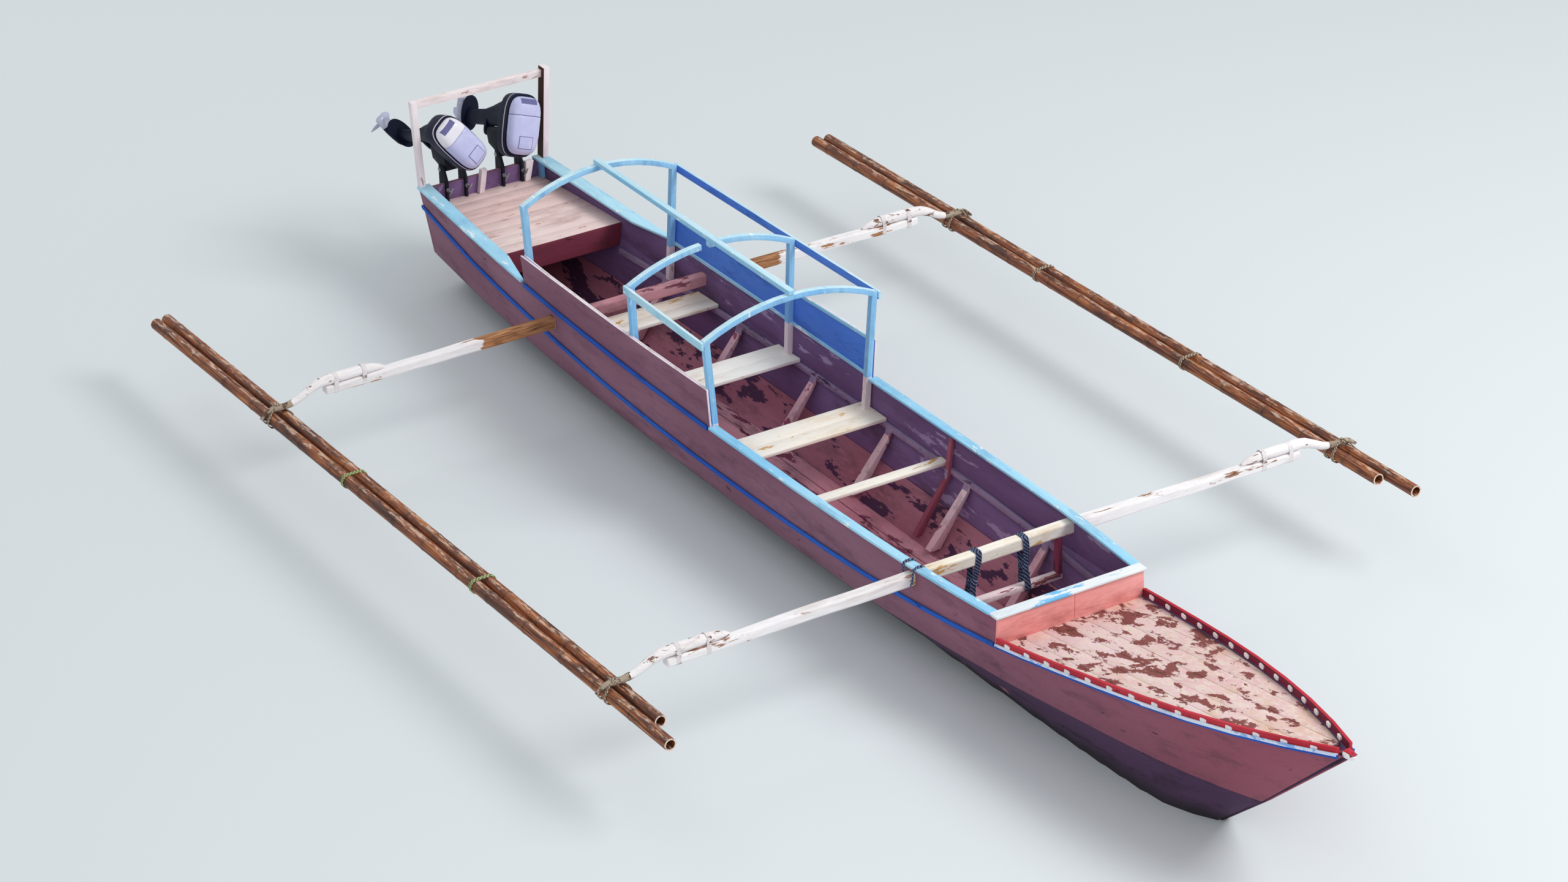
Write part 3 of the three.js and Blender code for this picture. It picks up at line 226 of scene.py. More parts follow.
@dataclass(frozen=True)
class WornPaint(Finish):
    """House paint brushed on planks, sun-bleached and flaked down to old coats and bare timber.

    It looks matt and chalky, with fibre lines, clouds of dirt and sharp-edged flakes.
    """

    paint: str
    faded: str
    under: str
    wood: str = "#8c735c"
    wear: float = 0.12
    bare: float = 0.35
    patch_mm: float = 90
    stretch: float = 3.5
    grain: Grain = Grain.FORE_AND_AFT
    dirt: str = "#4a3c3c"
    dirt_share: float = 0.25
    roughness: float = 0.72
    mottle: float = 0.0
    bow: str = ""
    bare_within: float = 0.0
    waterline: bool = False
    # Sizes of what shows in old paint: bleached areas, rubbed spots, fibre lines and clouds of dirt
    bleach_mm: float = 714
    spot_mm: float = 58.8
    fibre_mm: float = 6.25
    cloud_mm: float = 192.3
    fibre_stretch: float = 25
    flake_edge: float = 0.008
    bared_roughness: float = 0.88

    def dress(self, tree: Tree, shader: Node, place: Socket) -> None:
        """Lays the paint, its dirt and its flakes, and feeds them to the shader.

        Args:
            tree: The material's node tree.
            shader: The shader that they feed.
            place: Object coordinates.
        """
        along = self.stretched(tree, place, self.stretch)
        fibres = {"Vector": self.stretched(tree, place, self.fibre_stretch), "Scale": fineness(self.fibre_mm),
                  "Detail": 3.0, "Roughness": 0.6}
        lines = add_node(tree, "TexNoise", fibres).outputs["Fac"]
        clouds = {"Vector": along, "Scale": fineness(self.cloud_mm), "Detail": 6.0, "Roughness": 0.72}
        cloud = add_node(tree, "TexNoise", clouds).outputs["Fac"]
        colour = self.coats(tree, place, along, lines)
        level = threshold(self.dirt_share)
        colour, _ = lay_over(tree, cloud, colour, self.dirt, ((level - 0.06, 0), (level + 0.16, 0.75)))
        colour, flaked = self.flakes(tree, place, along, lines, colour)
        if self.waterline:
            colour = self.stain(tree, place, cloud, colour)
        rough = add_node(tree, "MapRange", {0: flaked, 3: self.roughness, 4: self.bared_roughness})
        sunk = add_node(tree, "Math", {0: flaked, 1: -0.7}, operation="MULTIPLY").outputs[0]
        height = add_node(tree, "Math", {0: sunk, 1: lines}, operation="ADD").outputs[0]
        bump = add_node(tree, "Bump", {"Height": height, "Strength": 0.6, "Distance": 1.2 * MM})
        # Old paint has chalked, so it gives back little of the sky
        plug(tree, shader, {"Base Color": colour, "Specular IOR Level": 0.2, "Roughness": rough.outputs[0],
                            "Normal": bump.outputs["Normal"]})

    def stretched(self, tree: Tree, place: Socket, times: float) -> Socket:
        """Stretches coordinates, so that a pattern is drawn out along the grain.

        Args:
            tree: The node tree.
            place: Object coordinates.
            times: How many times the pattern is drawn out.

        Returns:
            The new coordinates.
        """
        scale = [1.0, 1.0, 1.0]
        scale[self.grain.value] = 1 / times
        return add_node(tree, "Mapping", {"Vector": place, "Scale": scale}).outputs["Vector"]

    def coats(self, tree: Tree, place: Socket, along: Socket, lines: Socket) -> Socket:
        """Lays the paint with what the sun and feet have done to it.

        Args:
            tree: The node tree.
            place: Object coordinates.
            along: Coordinates drawn out along the grain.
            lines: Noise of brush and fibre lines.

        Returns:
            The colour's socket.
        """
        broad = {"Vector": along, "Scale": fineness(self.bleach_mm), "Detail": 4.0, "Roughness": 0.6}
        value = add_node(tree, "TexNoise", broad).outputs["Fac"]
        colour, _ = lay_over(tree, value, self.paint, self.faded, ((0.38, 0), (0.62, 1)))
        if self.mottle:
            # A second coat, rubbed through in spots
            spots = {"Vector": along, "Scale": fineness(self.spot_mm), "Detail": 7.0, "Roughness": 0.75}
            level = threshold(self.mottle)
            value = add_node(tree, "TexNoise", spots).outputs["Fac"]
            colour, _ = lay_over(tree, value, colour, "#efdccd", ((level - 0.05, 0), (level + 0.07, 0.8)))
        if self.bow:
            # The side is redder towards the bow
            forward = add_node(tree, "SeparateXYZ", {0: place}).outputs["X"]
            share = add_node(tree, "MapRange", {0: forward, 1: 1.0, 2: 5.0, 3: 0.0, 4: 0.85}).outputs[0]
            colour, _ = lay_over(tree, share, colour, self.bow)
        shade = add_node(tree, "ValToRGB", {0: lines}, ramp=[(0.35, grey(0.78)), (0.6, grey(1))])
        sockets = {0: 0.55, 6: colour, 7: shade.outputs["Color"]}
        return add_node(tree, "Mix", sockets, data_type="RGBA", blend_type="MULTIPLY").outputs[2]

    def flakes(self, tree: Tree, place: Socket, along: Socket, lines: Socket,
               colour: Socket) -> tuple[Socket, Socket]:
        """Flakes the paint off, first to the old coat and then to the timber.

        Args:
            tree: The node tree.
            place: Object coordinates.
            along: Coordinates drawn out along the grain.
            lines: Noise of brush and fibre lines.
            colour: The colour so far.

        Returns:
            Socket of the colour, and socket of the share that has flaked.
        """
        patches = {"Vector": along, "Scale": fineness(self.patch_mm), "Detail": 9.0, "Roughness": 0.66,
                   "Distortion": 0.25}
        chips = add_node(tree, "TexNoise", patches).outputs["Fac"]
        if self.bare_within:
            # All the paint is gone near the hull
            across = add_node(tree, "SeparateXYZ", {0: place}).outputs["Y"]
            off = add_node(tree, "Math", {0: across}, operation="ABSOLUTE").outputs[0]
            fade = {0: off, 1: self.bare_within + 0.09, 2: self.bare_within - 0.09, 3: 0.0, 4: 0.6}
            gone = add_node(tree, "MapRange", fade).outputs[0]
            chips = add_node(tree, "Math", {0: chips, 1: gone}, operation="ADD").outputs[0]
        level, deep, edge = threshold(self.wear), threshold(self.wear * self.bare), self.flake_edge
        colour, flaked = lay_over(tree, chips, colour, self.under, ((level - edge, 0), (level + edge, 1)))
        stops = [(0.3, linear("#3d2c22")), (0.55, linear(self.wood)), (0.8, linear("#b79c7f"))]
        timber = add_node(tree, "ValToRGB", {0: lines}, ramp=stops).outputs["Color"]
        colour, _ = lay_over(tree, chips, colour, timber, ((deep - edge, 0), (deep + edge, 1)))
        return colour, flaked

    @staticmethod
    def stain(tree: Tree, place: Socket, cloud: Socket, colour: Socket) -> Socket:
        """Darkens the band just above the water with weed and scum.

        Args:
            tree: The node tree.
            place: Object coordinates.
            cloud: A noise that breaks the band's edge.
            colour: The colour so far.

        Returns:
            The stained colour.
        """
        height = add_node(tree, "SeparateXYZ", {0: place}).outputs["Z"]
        ragged = add_node(tree, "Math", {0: cloud, 1: 0.22}, operation="MULTIPLY").outputs[0]
        above = add_node(tree, "Math", {0: height, 1: ragged}, operation="SUBTRACT").outputs[0]
        band = add_node(tree, "MapRange", {0: above, 1: -0.07, 2: 0.06, 3: 0.8, 4: 0.0}).outputs[0]
        return lay_over(tree, band, colour, "#2b2a2c")[0]


@dataclass(frozen=True)
class Bamboo(Finish):
    """Large bamboo, weathered from straw to red-brown, its skin bleached and split along the top.

    It looks streaked along the cane, a little glossy, dark at each joint, and paler on top, partly from a
    painted highlight.
    """

    light: str = "#c87e40"
    middle: str = "#8c4826"
    dark: str = "#3c2018"
    # Width of a streak, of a water mark and of a flake of skin, with how far each is drawn out
    streak_mm: float = 15.15
    streak_draw: float = 0.035
    mark_mm: float = 111.1
    mark_draw: float = 0.2
    skin_mm: float = 21.74
    skin_draw: float = 0.16

    def dress(self, tree: Tree, shader: Node, place: Socket) -> None:
        """Lays the streaks, the rot, the bleached skin and the joints.

        Args:
            tree: The material's node tree.
            shader: The shader that they feed.
            place: Object coordinates.
        """
        values = []
        for size, draw, detail, rough in ((self.streak_mm, self.streak_draw, 5.0, 0.62),
                                          (self.mark_mm, self.mark_draw, 6.0, 0.7),
                                          (self.skin_mm, self.skin_draw, 8.0, 0.7)):
            along = add_node(tree, "Mapping", {"Vector": place, "Scale": (draw, 1.0, 1.0)}).outputs["Vector"]
            sockets = {"Vector": along, "Scale": fineness(size), "Detail": detail, "Roughness": rough}
            values.append(add_node(tree, "TexNoise", sockets).outputs["Fac"])
        streaks, marks, skin = values
        stops = [(0.36, linear(self.dark)), (0.5, linear(self.middle)), (0.66, linear(self.light))]
        colour = add_node(tree, "ValToRGB", {0: streaks}, ramp=stops).outputs["Color"]
        # Rot and water marks
        colour, _ = lay_over(tree, marks, colour, "#3c211b", ((0.49, 0), (0.6, 0.8)))
        # Pale, split skin on the upper side: bleaching, with painted highlight on the faces that look up
        normal = add_node(tree, "NewGeometry").outputs["Normal"]
        upward = add_node(tree, "SeparateXYZ", {0: normal}).outputs["Z"]
        bleach_and_highlight_on_top = add_node(tree, "MapRange", {0: upward, 1: 0.45, 2: 0.95, 3: 0.0, 4: 0.22}).outputs[0]
        both = add_node(tree, "Math", {0: skin, 1: bleach_and_highlight_on_top}, operation="ADD").outputs[0]
        colour, _ = lay_over(tree, both, colour, "#dcbca6", ((0.72, 0), (0.8, 0.8)))
        ring = add_node(tree, "Attribute", attribute_name="joint").outputs["Fac"]
        faint = add_node(tree, "MapRange", {0: ring, 4: 0.6}).outputs[0]
        colour, _ = lay_over(tree, faint, colour, "#3a231a")
        bump = add_node(tree, "Bump", {"Height": streaks, "Strength": 0.5, "Distance": 1.0 * MM})
        plug(tree, shader, {"Base Color": colour, "Roughness": 0.55, "Normal": bump.outputs["Normal"]})


@dataclass(frozen=True)
class Cordage(Finish):
    """Laid rope, dull and fibrous, with its strands showing as slanted bands."""

    light: str
    dark: str
    # Strands drawn coarser than real, so that they show
    strand_mm: float = 14.28
    fibre_mm: float = 4.1667

    def dress(self, tree: Tree, shader: Node, place: Socket) -> None:
        """Lays the strands and their fibres.

        Args:
            tree: The material's node tree.
            shader: The shader that they feed.
            place: Object coordinates.
        """
        # Blender's bands come 20 radians to each unit of its coordinates
        scale = 2 * math.pi / 20 * fineness(self.strand_mm)
        wave = {"Vector": place, "Scale": scale, "Distortion": 3.0, "Detail": 2.0}
        strands = add_node(tree, "TexWave", wave, bands_direction="DIAGONAL").outputs["Fac"]
        hairs = {"Vector": place, "Scale": fineness(self.fibre_mm), "Detail": 3.0}
        fibres = add_node(tree, "TexNoise", hairs).outputs["Fac"]
        # Dark between the strands: painted shade in the grooves, broken up by the fibres
        groove_shade_and_fibres = add_node(tree, "Math", {0: strands, 1: fibres}, operation="MULTIPLY").outputs[0]
        stops = [(0.1, linear(self.dark)), (0.55, linear(self.light))]
        colour = add_node(tree, "ValToRGB", {0: groove_shade_and_fibres}, ramp=stops).outputs["Color"]
        bump = add_node(tree, "Bump", {"Height": groove_shade_and_fibres, "Strength": 0.8, "Distance": 2.0 * MM})
        plug(tree, shader, {"Base Color": colour, "Roughness": 0.9, "Normal": bump.outputs["Normal"]})


@dataclass(frozen=True)
class Casing(Finish):
    """Sprayed enamel or moulded cover of a machine, with dust, fine scuffs and a light orange peel."""

    colour: str
    dust: str = "#a8a4a0"
    dust_share: float = 0.2
    roughness: float = 0.3
    metallic: float = 0.0
    coat: float = 0.2
    gloss: float = 0.4
    cloud_mm: float = 111.1
    peel_mm: float = 2.381

    def dress(self, tree: Tree, shader: Node, place: Socket) -> None:
        """Lays the dust over the colour, and the peel under the gloss.

        Args:
            tree: The material's node tree.
            shader: The shader that they feed.
            place: Object coordinates.
        """
        clouds = {"Vector": place, "Scale": fineness(self.cloud_mm), "Detail": 8.0, "Roughness": 0.7}
        cloud = add_node(tree, "TexNoise", clouds).outputs["Fac"]
        level = threshold(self.dust_share)
        colour, _ = lay_over(tree, cloud, self.colour, self.dust, ((level - 0.05, 0), (level + 0.2, 0.6)))
        rough = add_node(tree, "MapRange", {0: cloud, 3: self.roughness * 0.7, 4: self.roughness * 1.5})
        peel = add_node(tree, "TexNoise", {"Vector": place, "Scale": fineness(self.peel_mm), "Detail": 1.0})
        bump = add_node(tree, "Bump", {"Height": peel.outputs["Fac"], "Strength": 0.12, "Distance": 0.3 * MM})
        plug(tree, shader, {"Base Color": colour, "Roughness": rough.outputs[0], "Metallic": self.metallic,
                            "Coat Weight": self.coat, "Specular IOR Level": self.gloss,
                            "Normal": bump.outputs["Normal"]})


# Columns of a paint: name, coat, where it is bleached, coat or primer under it
BOTTOM = WornPaint("bottom_antifouling", "#4a3150", "#563d5a", "#2c1e30", wear=0.05, dirt="#201a20",
                   waterline=True)
TOPSIDE = WornPaint("topside_maroon", "#885b70", "#986c80", "#5e3c50", wear=0.06, bare=0.25, patch_mm=60,
                    dirt="#5e3d4a", bow="#9c5262")
STEM_RED = WornPaint("stem_paint", "#93404f", "#a04f5c", "#52202c", wear=0.08, dirt="#45202c", waterline=True)
BLUE = WornPaint("royal_blue_paint", "#1f52b4", "#2c66c8", "#1a3c7e", wear=0.06, patch_mm=45, dirt="#202c66")
PANEL_BLUE = WornPaint("panel_blue_paint", "#5084ea", "#6296f0", "#3a64b6", wear=0.06, patch_mm=70,
                       dirt="#2e4a94")
SKY = WornPaint("sky_blue_paint", "#93d2f5", "#bdeafb", "#e6f3f6", wear=0.14, bare=0.15, patch_mm=55,
                dirt="#689fc6")
# Paler sky blue for faces that look up: painted sunlight on the same paint
SKY_SUNLIT_TOP = WornPaint("sky_top_painted_sunlight", "#c2e9f8", "#dcf4fb", "#f4fbfc", wear=0.16, bare=0.15, patch_mm=60,
                    dirt="#98cbe2")
SKY_POST = WornPaint("sky_post_paint", "#86c4f4", "#aee0fa", "#e6f3f6", wear=0.10, bare=0.1, patch_mm=55,
                     grain=Grain.UPRIGHT, dirt="#6496c8")
BOW_WHITE = WornPaint("bow_rail_white", "#dbe5fb", "#f2f6ff", "#8fb6f0", wear=0.2, bare=0.05, patch_mm=70,
                      dirt="#a4b0d4")
WORN_CAP = WornPaint("front_cap_paint", "#dfeaf2", "#f2f5f6", "#79c0ec", wear=0.45, bare=0.04, patch_mm=170,
                     grain=Grain.ATHWART, dirt="#b6c9d8")
SALMON = WornPaint("coaming_salmon", "#f79a96", "#faaca8", "#dc7c7a", wear=0.06, bare=0.2,
                   grain=Grain.ATHWART, dirt="#bb564e")
DECK = WornPaint("flaking_deck_paint", "#f1d4d6", "#e8bebc", "#8b504c", wear=0.36, bare=0.2, patch_mm=125,
                 stretch=1.6, dirt="#d8b28e", dirt_share=0.3, roughness=0.75, mottle=0.5, wood="#70443c")
TOE_RED = WornPaint("toe_rail_red", "#c22c3c", "#d24450", "#8a2430", wear=0.06, patch_mm=45, dirt="#8c2530")
# Darker red for the toe rails' inner faces: painted shade
TOE_SHADED = WornPaint("toe_rail_inner_painted_shade", "#78203a", "#882a42", "#4c1826", wear=0.05, patch_mm=45,
                     dirt="#4c1826")
WHITE = WornPaint("white_gloss", "#fbf6f4", "#f4eef0", "#d6c8c6", wear=0.04, patch_mm=30, dirt="#c8bab8")
CREAM = WornPaint("cream_board_paint", "#fdf3e4", "#fffaf2", "#d9a765", wear=0.15, bare=0.4, patch_mm=130,
                  grain=Grain.ATHWART, wood="#c4965e", dirt="#dcbc8c", dirt_share=0.22)
INSIDE = WornPaint("inside_purple", "#745680", "#876896", "#aa94ba", wear=0.10, bare=0.08, patch_mm=150,
                   stretch=5.0)
BILGE = WornPaint("bilge_rose", "#a0596c", "#b97686", "#50304c", wear=0.30, bare=0.1, patch_mm=150,
                  stretch=3.0)
RISER = WornPaint("riser_mauve", "#8f7898", "#b09ab8", "#4c3654", wear=0.16, bare=0.1, patch_mm=90)
ARM_PINK = WornPaint("frame_arm_pink", "#eeb8c2", "#fadce1", "#a4566c", wear=0.18, bare=0.1,
                     grain=Grain.UPRIGHT)
RIB_MAROON = WornPaint("rib_maroon", "#90405a", "#a95e70", "#5c2436", wear=0.1, grain=Grain.UPRIGHT)
FLOOR = WornPaint("floor_rose", "#c27486", "#dba3ae", "#7a3c52", wear=0.22, bare=0.2, patch_mm=160)
TIE_PINK = WornPaint("tie_beam_pink", "#e8c8cc", "#f4dedf", "#94505f", wear=0.22, grain=Grain.ATHWART)
BEAM_ROSE = WornPaint("rear_beam_rose", "#c98a92", "#dcaeb2", "#7c4250", wear=0.2, grain=Grain.ATHWART)
STERN_DECK = WornPaint("stern_deck_pink", "#fae2dc", "#f5d4ce", "#c98c86", wear=0.12, bare=0.4, patch_mm=110,
                       grain=Grain.ATHWART, dirt="#ba948c", dirt_share=0.3)
DECK_EDGE = WornPaint("stern_deck_edge", "#86394c", "#944a5c", "#5a2734", wear=0.1, grain=Grain.ATHWART)
PINK_WHITE = WornPaint("post_pink_white", "#f4e2e8", "#fcf2f3", "#c49c9a", wear=0.08, patch_mm=50,
                       grain=Grain.UPRIGHT, dirt="#c4a8ac")
BAR_WHITE = WornPaint("bar_pink_white", "#f9e6e6", "#fff6f4", "#c49a90", wear=0.12, patch_mm=50,
                      grain=Grain.ATHWART, dirt="#caaeae")
# Dark brown of the port post's face that looks to starboard: the post's brown, darkened with painted shade
POST_BROWN_SHADED = WornPaint("post_brown_painted_shade", "#412823", "#52352d", "#2c1b18", wear=0.2, grain=Grain.UPRIGHT)
BEAM_WHITE = WornPaint("beam_peeling_white", "#f7f1f1", "#fffbfb", "#a9806c", wear=0.19, bare=0.5,
                       patch_mm=80, stretch=5.0, grain=Grain.ATHWART, wood="#8a6248", dirt="#cbbab4",
                       dirt_share=0.22)
BEAM_PART_BARE = WornPaint("beam_part_bare", "#f7f1f1", "#fffbfb", "#b27c55", wear=0.19, bare=0.5,
                           patch_mm=80, stretch=5.0, grain=Grain.ATHWART, wood="#bb8259", dirt="#cbbab4",
                           dirt_share=0.22, bare_within=1.30)
BRANCH = WornPaint("crook_peeling_white", "#f5eded", "#fffafa", "#8a6652", wear=0.22, bare=0.5, patch_mm=60,
                   stretch=2.8, grain=Grain.ATHWART, wood="#704a34", dirt="#b8a59c", dirt_share=0.2)
HOOK = WornPaint("crook_bare_end", "#a3917f", "#bcaa98", "#5e4638", wear=0.35, bare=0.5, patch_mm=50,
                 stretch=2.0, grain=Grain.ATHWART, wood="#6a4a36", dirt="#5a4a42")
CUT_CANE = WornPaint("cut_bamboo", "#ecd2c2", "#f4e0d2", "#a4765a", wear=0.2, patch_mm=18, dirt="#b08a72")
CANE = Bamboo("weathered_bamboo")
# Second colour of each rope: painted shade in the grooves between its strands
ROPE_GREY = Cordage("grey_rope", "#cbbba6", "#6e5c4a")
ROPE_DARK = Cordage("blue_black_rope", "#7f90b8", "#10152a")
ROPE_GREEN = Cordage("faded_green_cord", "#c3cc9a", "#6c7a48")
COVER = Casing("lavender_cover", "#c5c4ea", dust="#dcdcf2", dust_share=0.3)
COVER_PALE = Casing("pale_cover_panel", "#efebf3", dust="#fbf9fa", dust_share=0.3)
# Dark plates on the cover: the grille, and the rim round the catch, which is its seam with painted shadow
# along the edge
COVER_SHADE = Casing("cover_catch", "#6c6a98", dust="#8f8db4", roughness=0.6, coat=0.0, gloss=0.2)
COVER_DARK = Casing("navy_cover", "#111731", dust="#2a3152", dust_share=0.1, roughness=0.45, coat=0.0,
                    gloss=0.15)
STRIPE = Casing("light_stripe", "#dccbdc", dust="#efe2ea")
ENAMEL = Casing("dark_leg_enamel", "#12182c", dust="#2c3450", dust_share=0.1, roughness=0.5, coat=0.0,
                gloss=0.12)
PALE_METAL = Casing("worn_gearcase", "#b9b9d2", dust="#e8e5ee", dust_share=0.45, roughness=0.45, metallic=0.1)
BRACKET = Casing("bracket_alloy", "#1b1e28", dust="#3f424e", dust_share=0.15, roughness=0.6, coat=0.0,
                 gloss=0.2)
STEEL = Casing("bright_steel", "#9a9ca2", dust="#77706a", roughness=0.35, metallic=0.9, coat=0.0)


# Modelling steps


class Bench:
    """Modelling steps that the builders share, done with Blender's own operators."""

    @staticmethod
    def only(*objects: Piece) -> None:
        """Selects just these objects, the first one active.

        Args:
            objects: The objects.
        """
        bpy.ops.object.select_all(action="DESELECT")
        for obj in objects:
            obj.select_set(True)
        bpy.context.view_layer.objects.active = objects[0]

    @classmethod
    def edit(cls, obj: Piece, kind: str = "FACE", select: str = "DESELECT") -> None:
        """Opens an object in edit mode.

        Args:
            obj: The object.
            kind: What is selected: faces, edges or points.
            select: SELECT for all of it, DESELECT for nothing.
        """
        cls.only(obj)
        bpy.ops.object.mode_set(mode="EDIT")
        bpy.ops.mesh.select_mode(type=kind)
        bpy.ops.mesh.select_all(action=select)

    @staticmethod
    def close() -> None:
        """Leaves edit mode."""
        bpy.ops.object.mode_set(mode="OBJECT")

    @staticmethod
    def added(name: str) -> Piece:
        """Names the object that an operator has just added."""
        bpy.context.active_object.name = name
        return bpy.context.active_object

    @staticmethod
    def apply() -> None:
        """Puts the selected object's place, turn and size into its mesh."""
        bpy.ops.object.transform_apply(location=True, rotation=True, scale=True)

    @classmethod
    def settle(cls, obj: Piece, angle: float = 32) -> Piece:
        """Applies an object's place to its mesh, turns its faces out and smooths what is nearly flat.

        Args:
            obj: The object.
            angle: Edges sharper than this stay sharp, in degrees.

        Returns:
            The same object.
        """
        cls.only(obj)
        cls.apply()
        cls.edit(obj, select="SELECT")
        bpy.ops.mesh.normals_make_consistent(inside=False)
        cls.close()
        bpy.ops.object.shade_smooth_by_angle(angle=math.radians(angle))
        return obj

    @classmethod
    def round_edges(cls, obj: Piece, width: float, segments: int = 2, angle: float = 28) -> None:
        """Bevels the sharp edges of an object.

        Args:
            obj: The object.
            width: Width of the rounding.
            segments: Steps in the rounding.
            angle: Edges sharper than this are rounded, in degrees.
        """
        cls.edit(obj, "EDGE")
        bpy.ops.mesh.edges_select_sharp(sharpness=math.radians(angle))
        bpy.ops.mesh.bevel(offset=width, segments=segments, affect="EDGES", clamp_overlap=True)
        cls.close()

    @staticmethod
    def copy(name: str, data: bpy.types.Mesh) -> Piece:
        """Puts a copy of a mesh into the scene.

        Args:
            name: The new object's name.
            data: The mesh.

        Returns:
            The new object.
        """
        made = bpy.data.objects.new(name, data.copy())
        bpy.context.scene.collection.objects.link(made)
        return made

    @classmethod
    def soften(cls, node: str, width: float = 4 * MM, segments: int = 2, stuff: str = "timber") -> Piece:
        """Copies a CAD node as one clean piece with rounded edges.

        Args:
            node: The CAD node's name.
            width: Width of the rounding.
            segments: Steps in the rounding.
            stuff: The word that ends the new piece's name.

        Returns:
            The new object, without a material.
        """
        made = cls.copy(f"{node}_{stuff}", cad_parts[node].data)
        made.data.materials.clear()
        cls.edit(made, "EDGE", "SELECT")
        bpy.ops.mesh.remove_doubles(threshold=MERGE_WITHIN)
        bpy.ops.mesh.dissolve_limited(angle_limit=math.radians(FLAT_WITHIN))
        cls.close()
        cls.round_edges(made, width, segments)
        return cls.settle(made)

    @classmethod
    def box(cls, name: str, low: Place, high: Place, width: float = 4 * MM) -> Piece:
        """Makes a board with rounded edges.

        Args:
            name: The board's name.
            low: Its low corner.
            high: Its high corner.
            width: Width of the rounding.

        Returns:
            The board.
        """
        low, high = Vector(low), Vector(high)
        bpy.ops.object.select_all(action="DESELECT")
        bpy.ops.mesh.primitive_cube_add(size=1, location=(low + high) / 2)
        made = cls.added(name)
        made.scale = high - low
        cls.apply()
        cls.round_edges(made, width)
        return cls.settle(made)

    @classmethod
    def rod(cls, name: str, start: Place, end: Place, radius: float, sides: int, width: float) -> Piece:
        """Makes a round bar with rounded rims.

        Args:
            name: The bar's name.
            start: Middle of one end.
            end: Middle of the other end.
            radius: Its radius.
            sides: Number of faces around.
            width: Width of the rounding.

        Returns:
            The bar.
        """
        start, end = Vector(start), Vector(end)
        bpy.ops.object.select_all(action="DESELECT")
        bpy.ops.mesh.primitive_cylinder_add(vertices=sides, radius=radius, depth=(end - start).length)
        turn = (end - start).to_track_quat("Z", "Y").to_matrix().to_4x4()
        made = cls.place(cls.added(name), Matrix.Translation((start + end) / 2) @ turn)
        cls.round_edges(made, width, angle=60)
        return cls.settle(made)

    @classmethod
    def tube(cls, name: str, route: list, radius: float, sides: int = 8, scales: list | None = None) -> Piece:
        """Makes a round tube along a route.

        Args:
            name: The new object's name.
            route: Points along the middle.
            radius: Radius of the tube.
            sides: Number of faces around, an even number.
            scales: Share of the radius at each point.

        Returns:
            The tube as a mesh.
        """
        bpy.ops.object.select_all(action="DESELECT")
        bpy.ops.curve.primitive_nurbs_path_add()
        made = cls.added(name)
        made.data.splines.clear()
        spline = made.data.splines.new("POLY")
        spline.points.add(len(route) - 1)
        for i, place in enumerate(route):
            spline.points[i].co = (*place, 1)
            spline.points[i].radius = scales[i] if scales else 1
        made.data.bevel_depth = radius
        made.data.bevel_resolution = sides // 2 - 2
        made.data.use_fill_caps = True
        bpy.ops.object.convert(target="MESH")
        made = bpy.context.active_object
        cls.edit(made, select="SELECT")
        bpy.ops.mesh.remove_doubles(threshold=MERGE_WITHIN)
        cls.close()
        return cls.settle(made, 50)

    @classmethod
    def draw_out(cls, name: str, rings: list[list[Vector]], width: float = 0.0, angle: float = 40) -> Piece:
        """Draws a body out of a first ring through all the others.

        Args:
            name: The new object's name.
            rings: Lists of points, all of one length.
            width: Width of the rounding of its sharp edges.
            angle: Edges sharper than this are rounded and stay sharp, in degrees.

        Returns:
            The closed body.
        """
        bpy.ops.object.select_all(action="DESELECT")
        bpy.ops.mesh.primitive_circle_add(vertices=len(rings[0]), fill_type="NGON")
        made = cls.added(name)
        for vertex, place in zip(made.data.vertices, rings[0]):
            vertex.co = place
        cls.edit(made, select="SELECT")
        for before, ring in zip(rings, rings[1:]):
            bpy.ops.mesh.extrude_region_move()
            mesh = bmesh.from_edit_mesh(made.data)
            for vertex in [vertex for vertex in mesh.verts if vertex.select]:
                nearest = min(range(len(before)), key=lambda i: (before[i] - vertex.co).length_squared)
                vertex.co = ring[nearest]
            bmesh.update_edit_mesh(made.data)
        cls.close()
        cls.settle(made, angle)
        if width:
            cls.round_edges(made, width, angle=angle)
            cls.settle(made, angle)
        return made

    @classmethod
    def strip(cls, name: str, spine: list[Place], thick: float, deep: float, width: float = 3 * MM) -> Piece:
        """Draws a board of one section out along a spine that runs fore and aft.

        Args:
            name: The board's name.
            spine: Points along its middle.
            thick: Its size across the boat.
            deep: Its height.
            width: Width of the rounding.

        Returns:
            The board.
        """
        half_y, half_z = thick / 2, deep / 2
        corners = [(-half_y, -half_z), (half_y, -half_z), (half_y, half_z), (-half_y, half_z)]
        rings = [[Vector((p[0], p[1] + y, p[2] + z)) for y, z in corners] for p in spine]
        return cls.draw_out(name, rings, width)

    @classmethod
    def place(cls, obj: Piece, matrix: Matrix) -> Piece:
        """Moves a piece from its own frame to the boat's.

        Args:
            obj: The piece.
            matrix: Its own frame in the boat's.

        Returns:
            The same piece.
        """
        obj.matrix_world = matrix
        cls.only(obj)
        cls.apply()
        return obj

    @classmethod
    def cut_at_height(cls, obj: Piece, height: float) -> None:
        """Cuts a level line of edges round a piece, where its paint changes.

        Args:
            obj: The piece.
            height: The line's height.
        """
        cls.edit(obj, select="SELECT")
        bpy.ops.mesh.bisect(plane_co=(0, 0, height), plane_no=Z_AXIS)
        cls.close()

    @classmethod
    def join(cls, name: str, objects: list[Piece]) -> Piece:
        """Joins meshes into one object.

        Args:
            name: Its name.
            objects: The objects, which are used up.

        Returns:
            The joined object.
        """
        cls.only(*objects)
        bpy.ops.object.join()
        return cls.added(name)

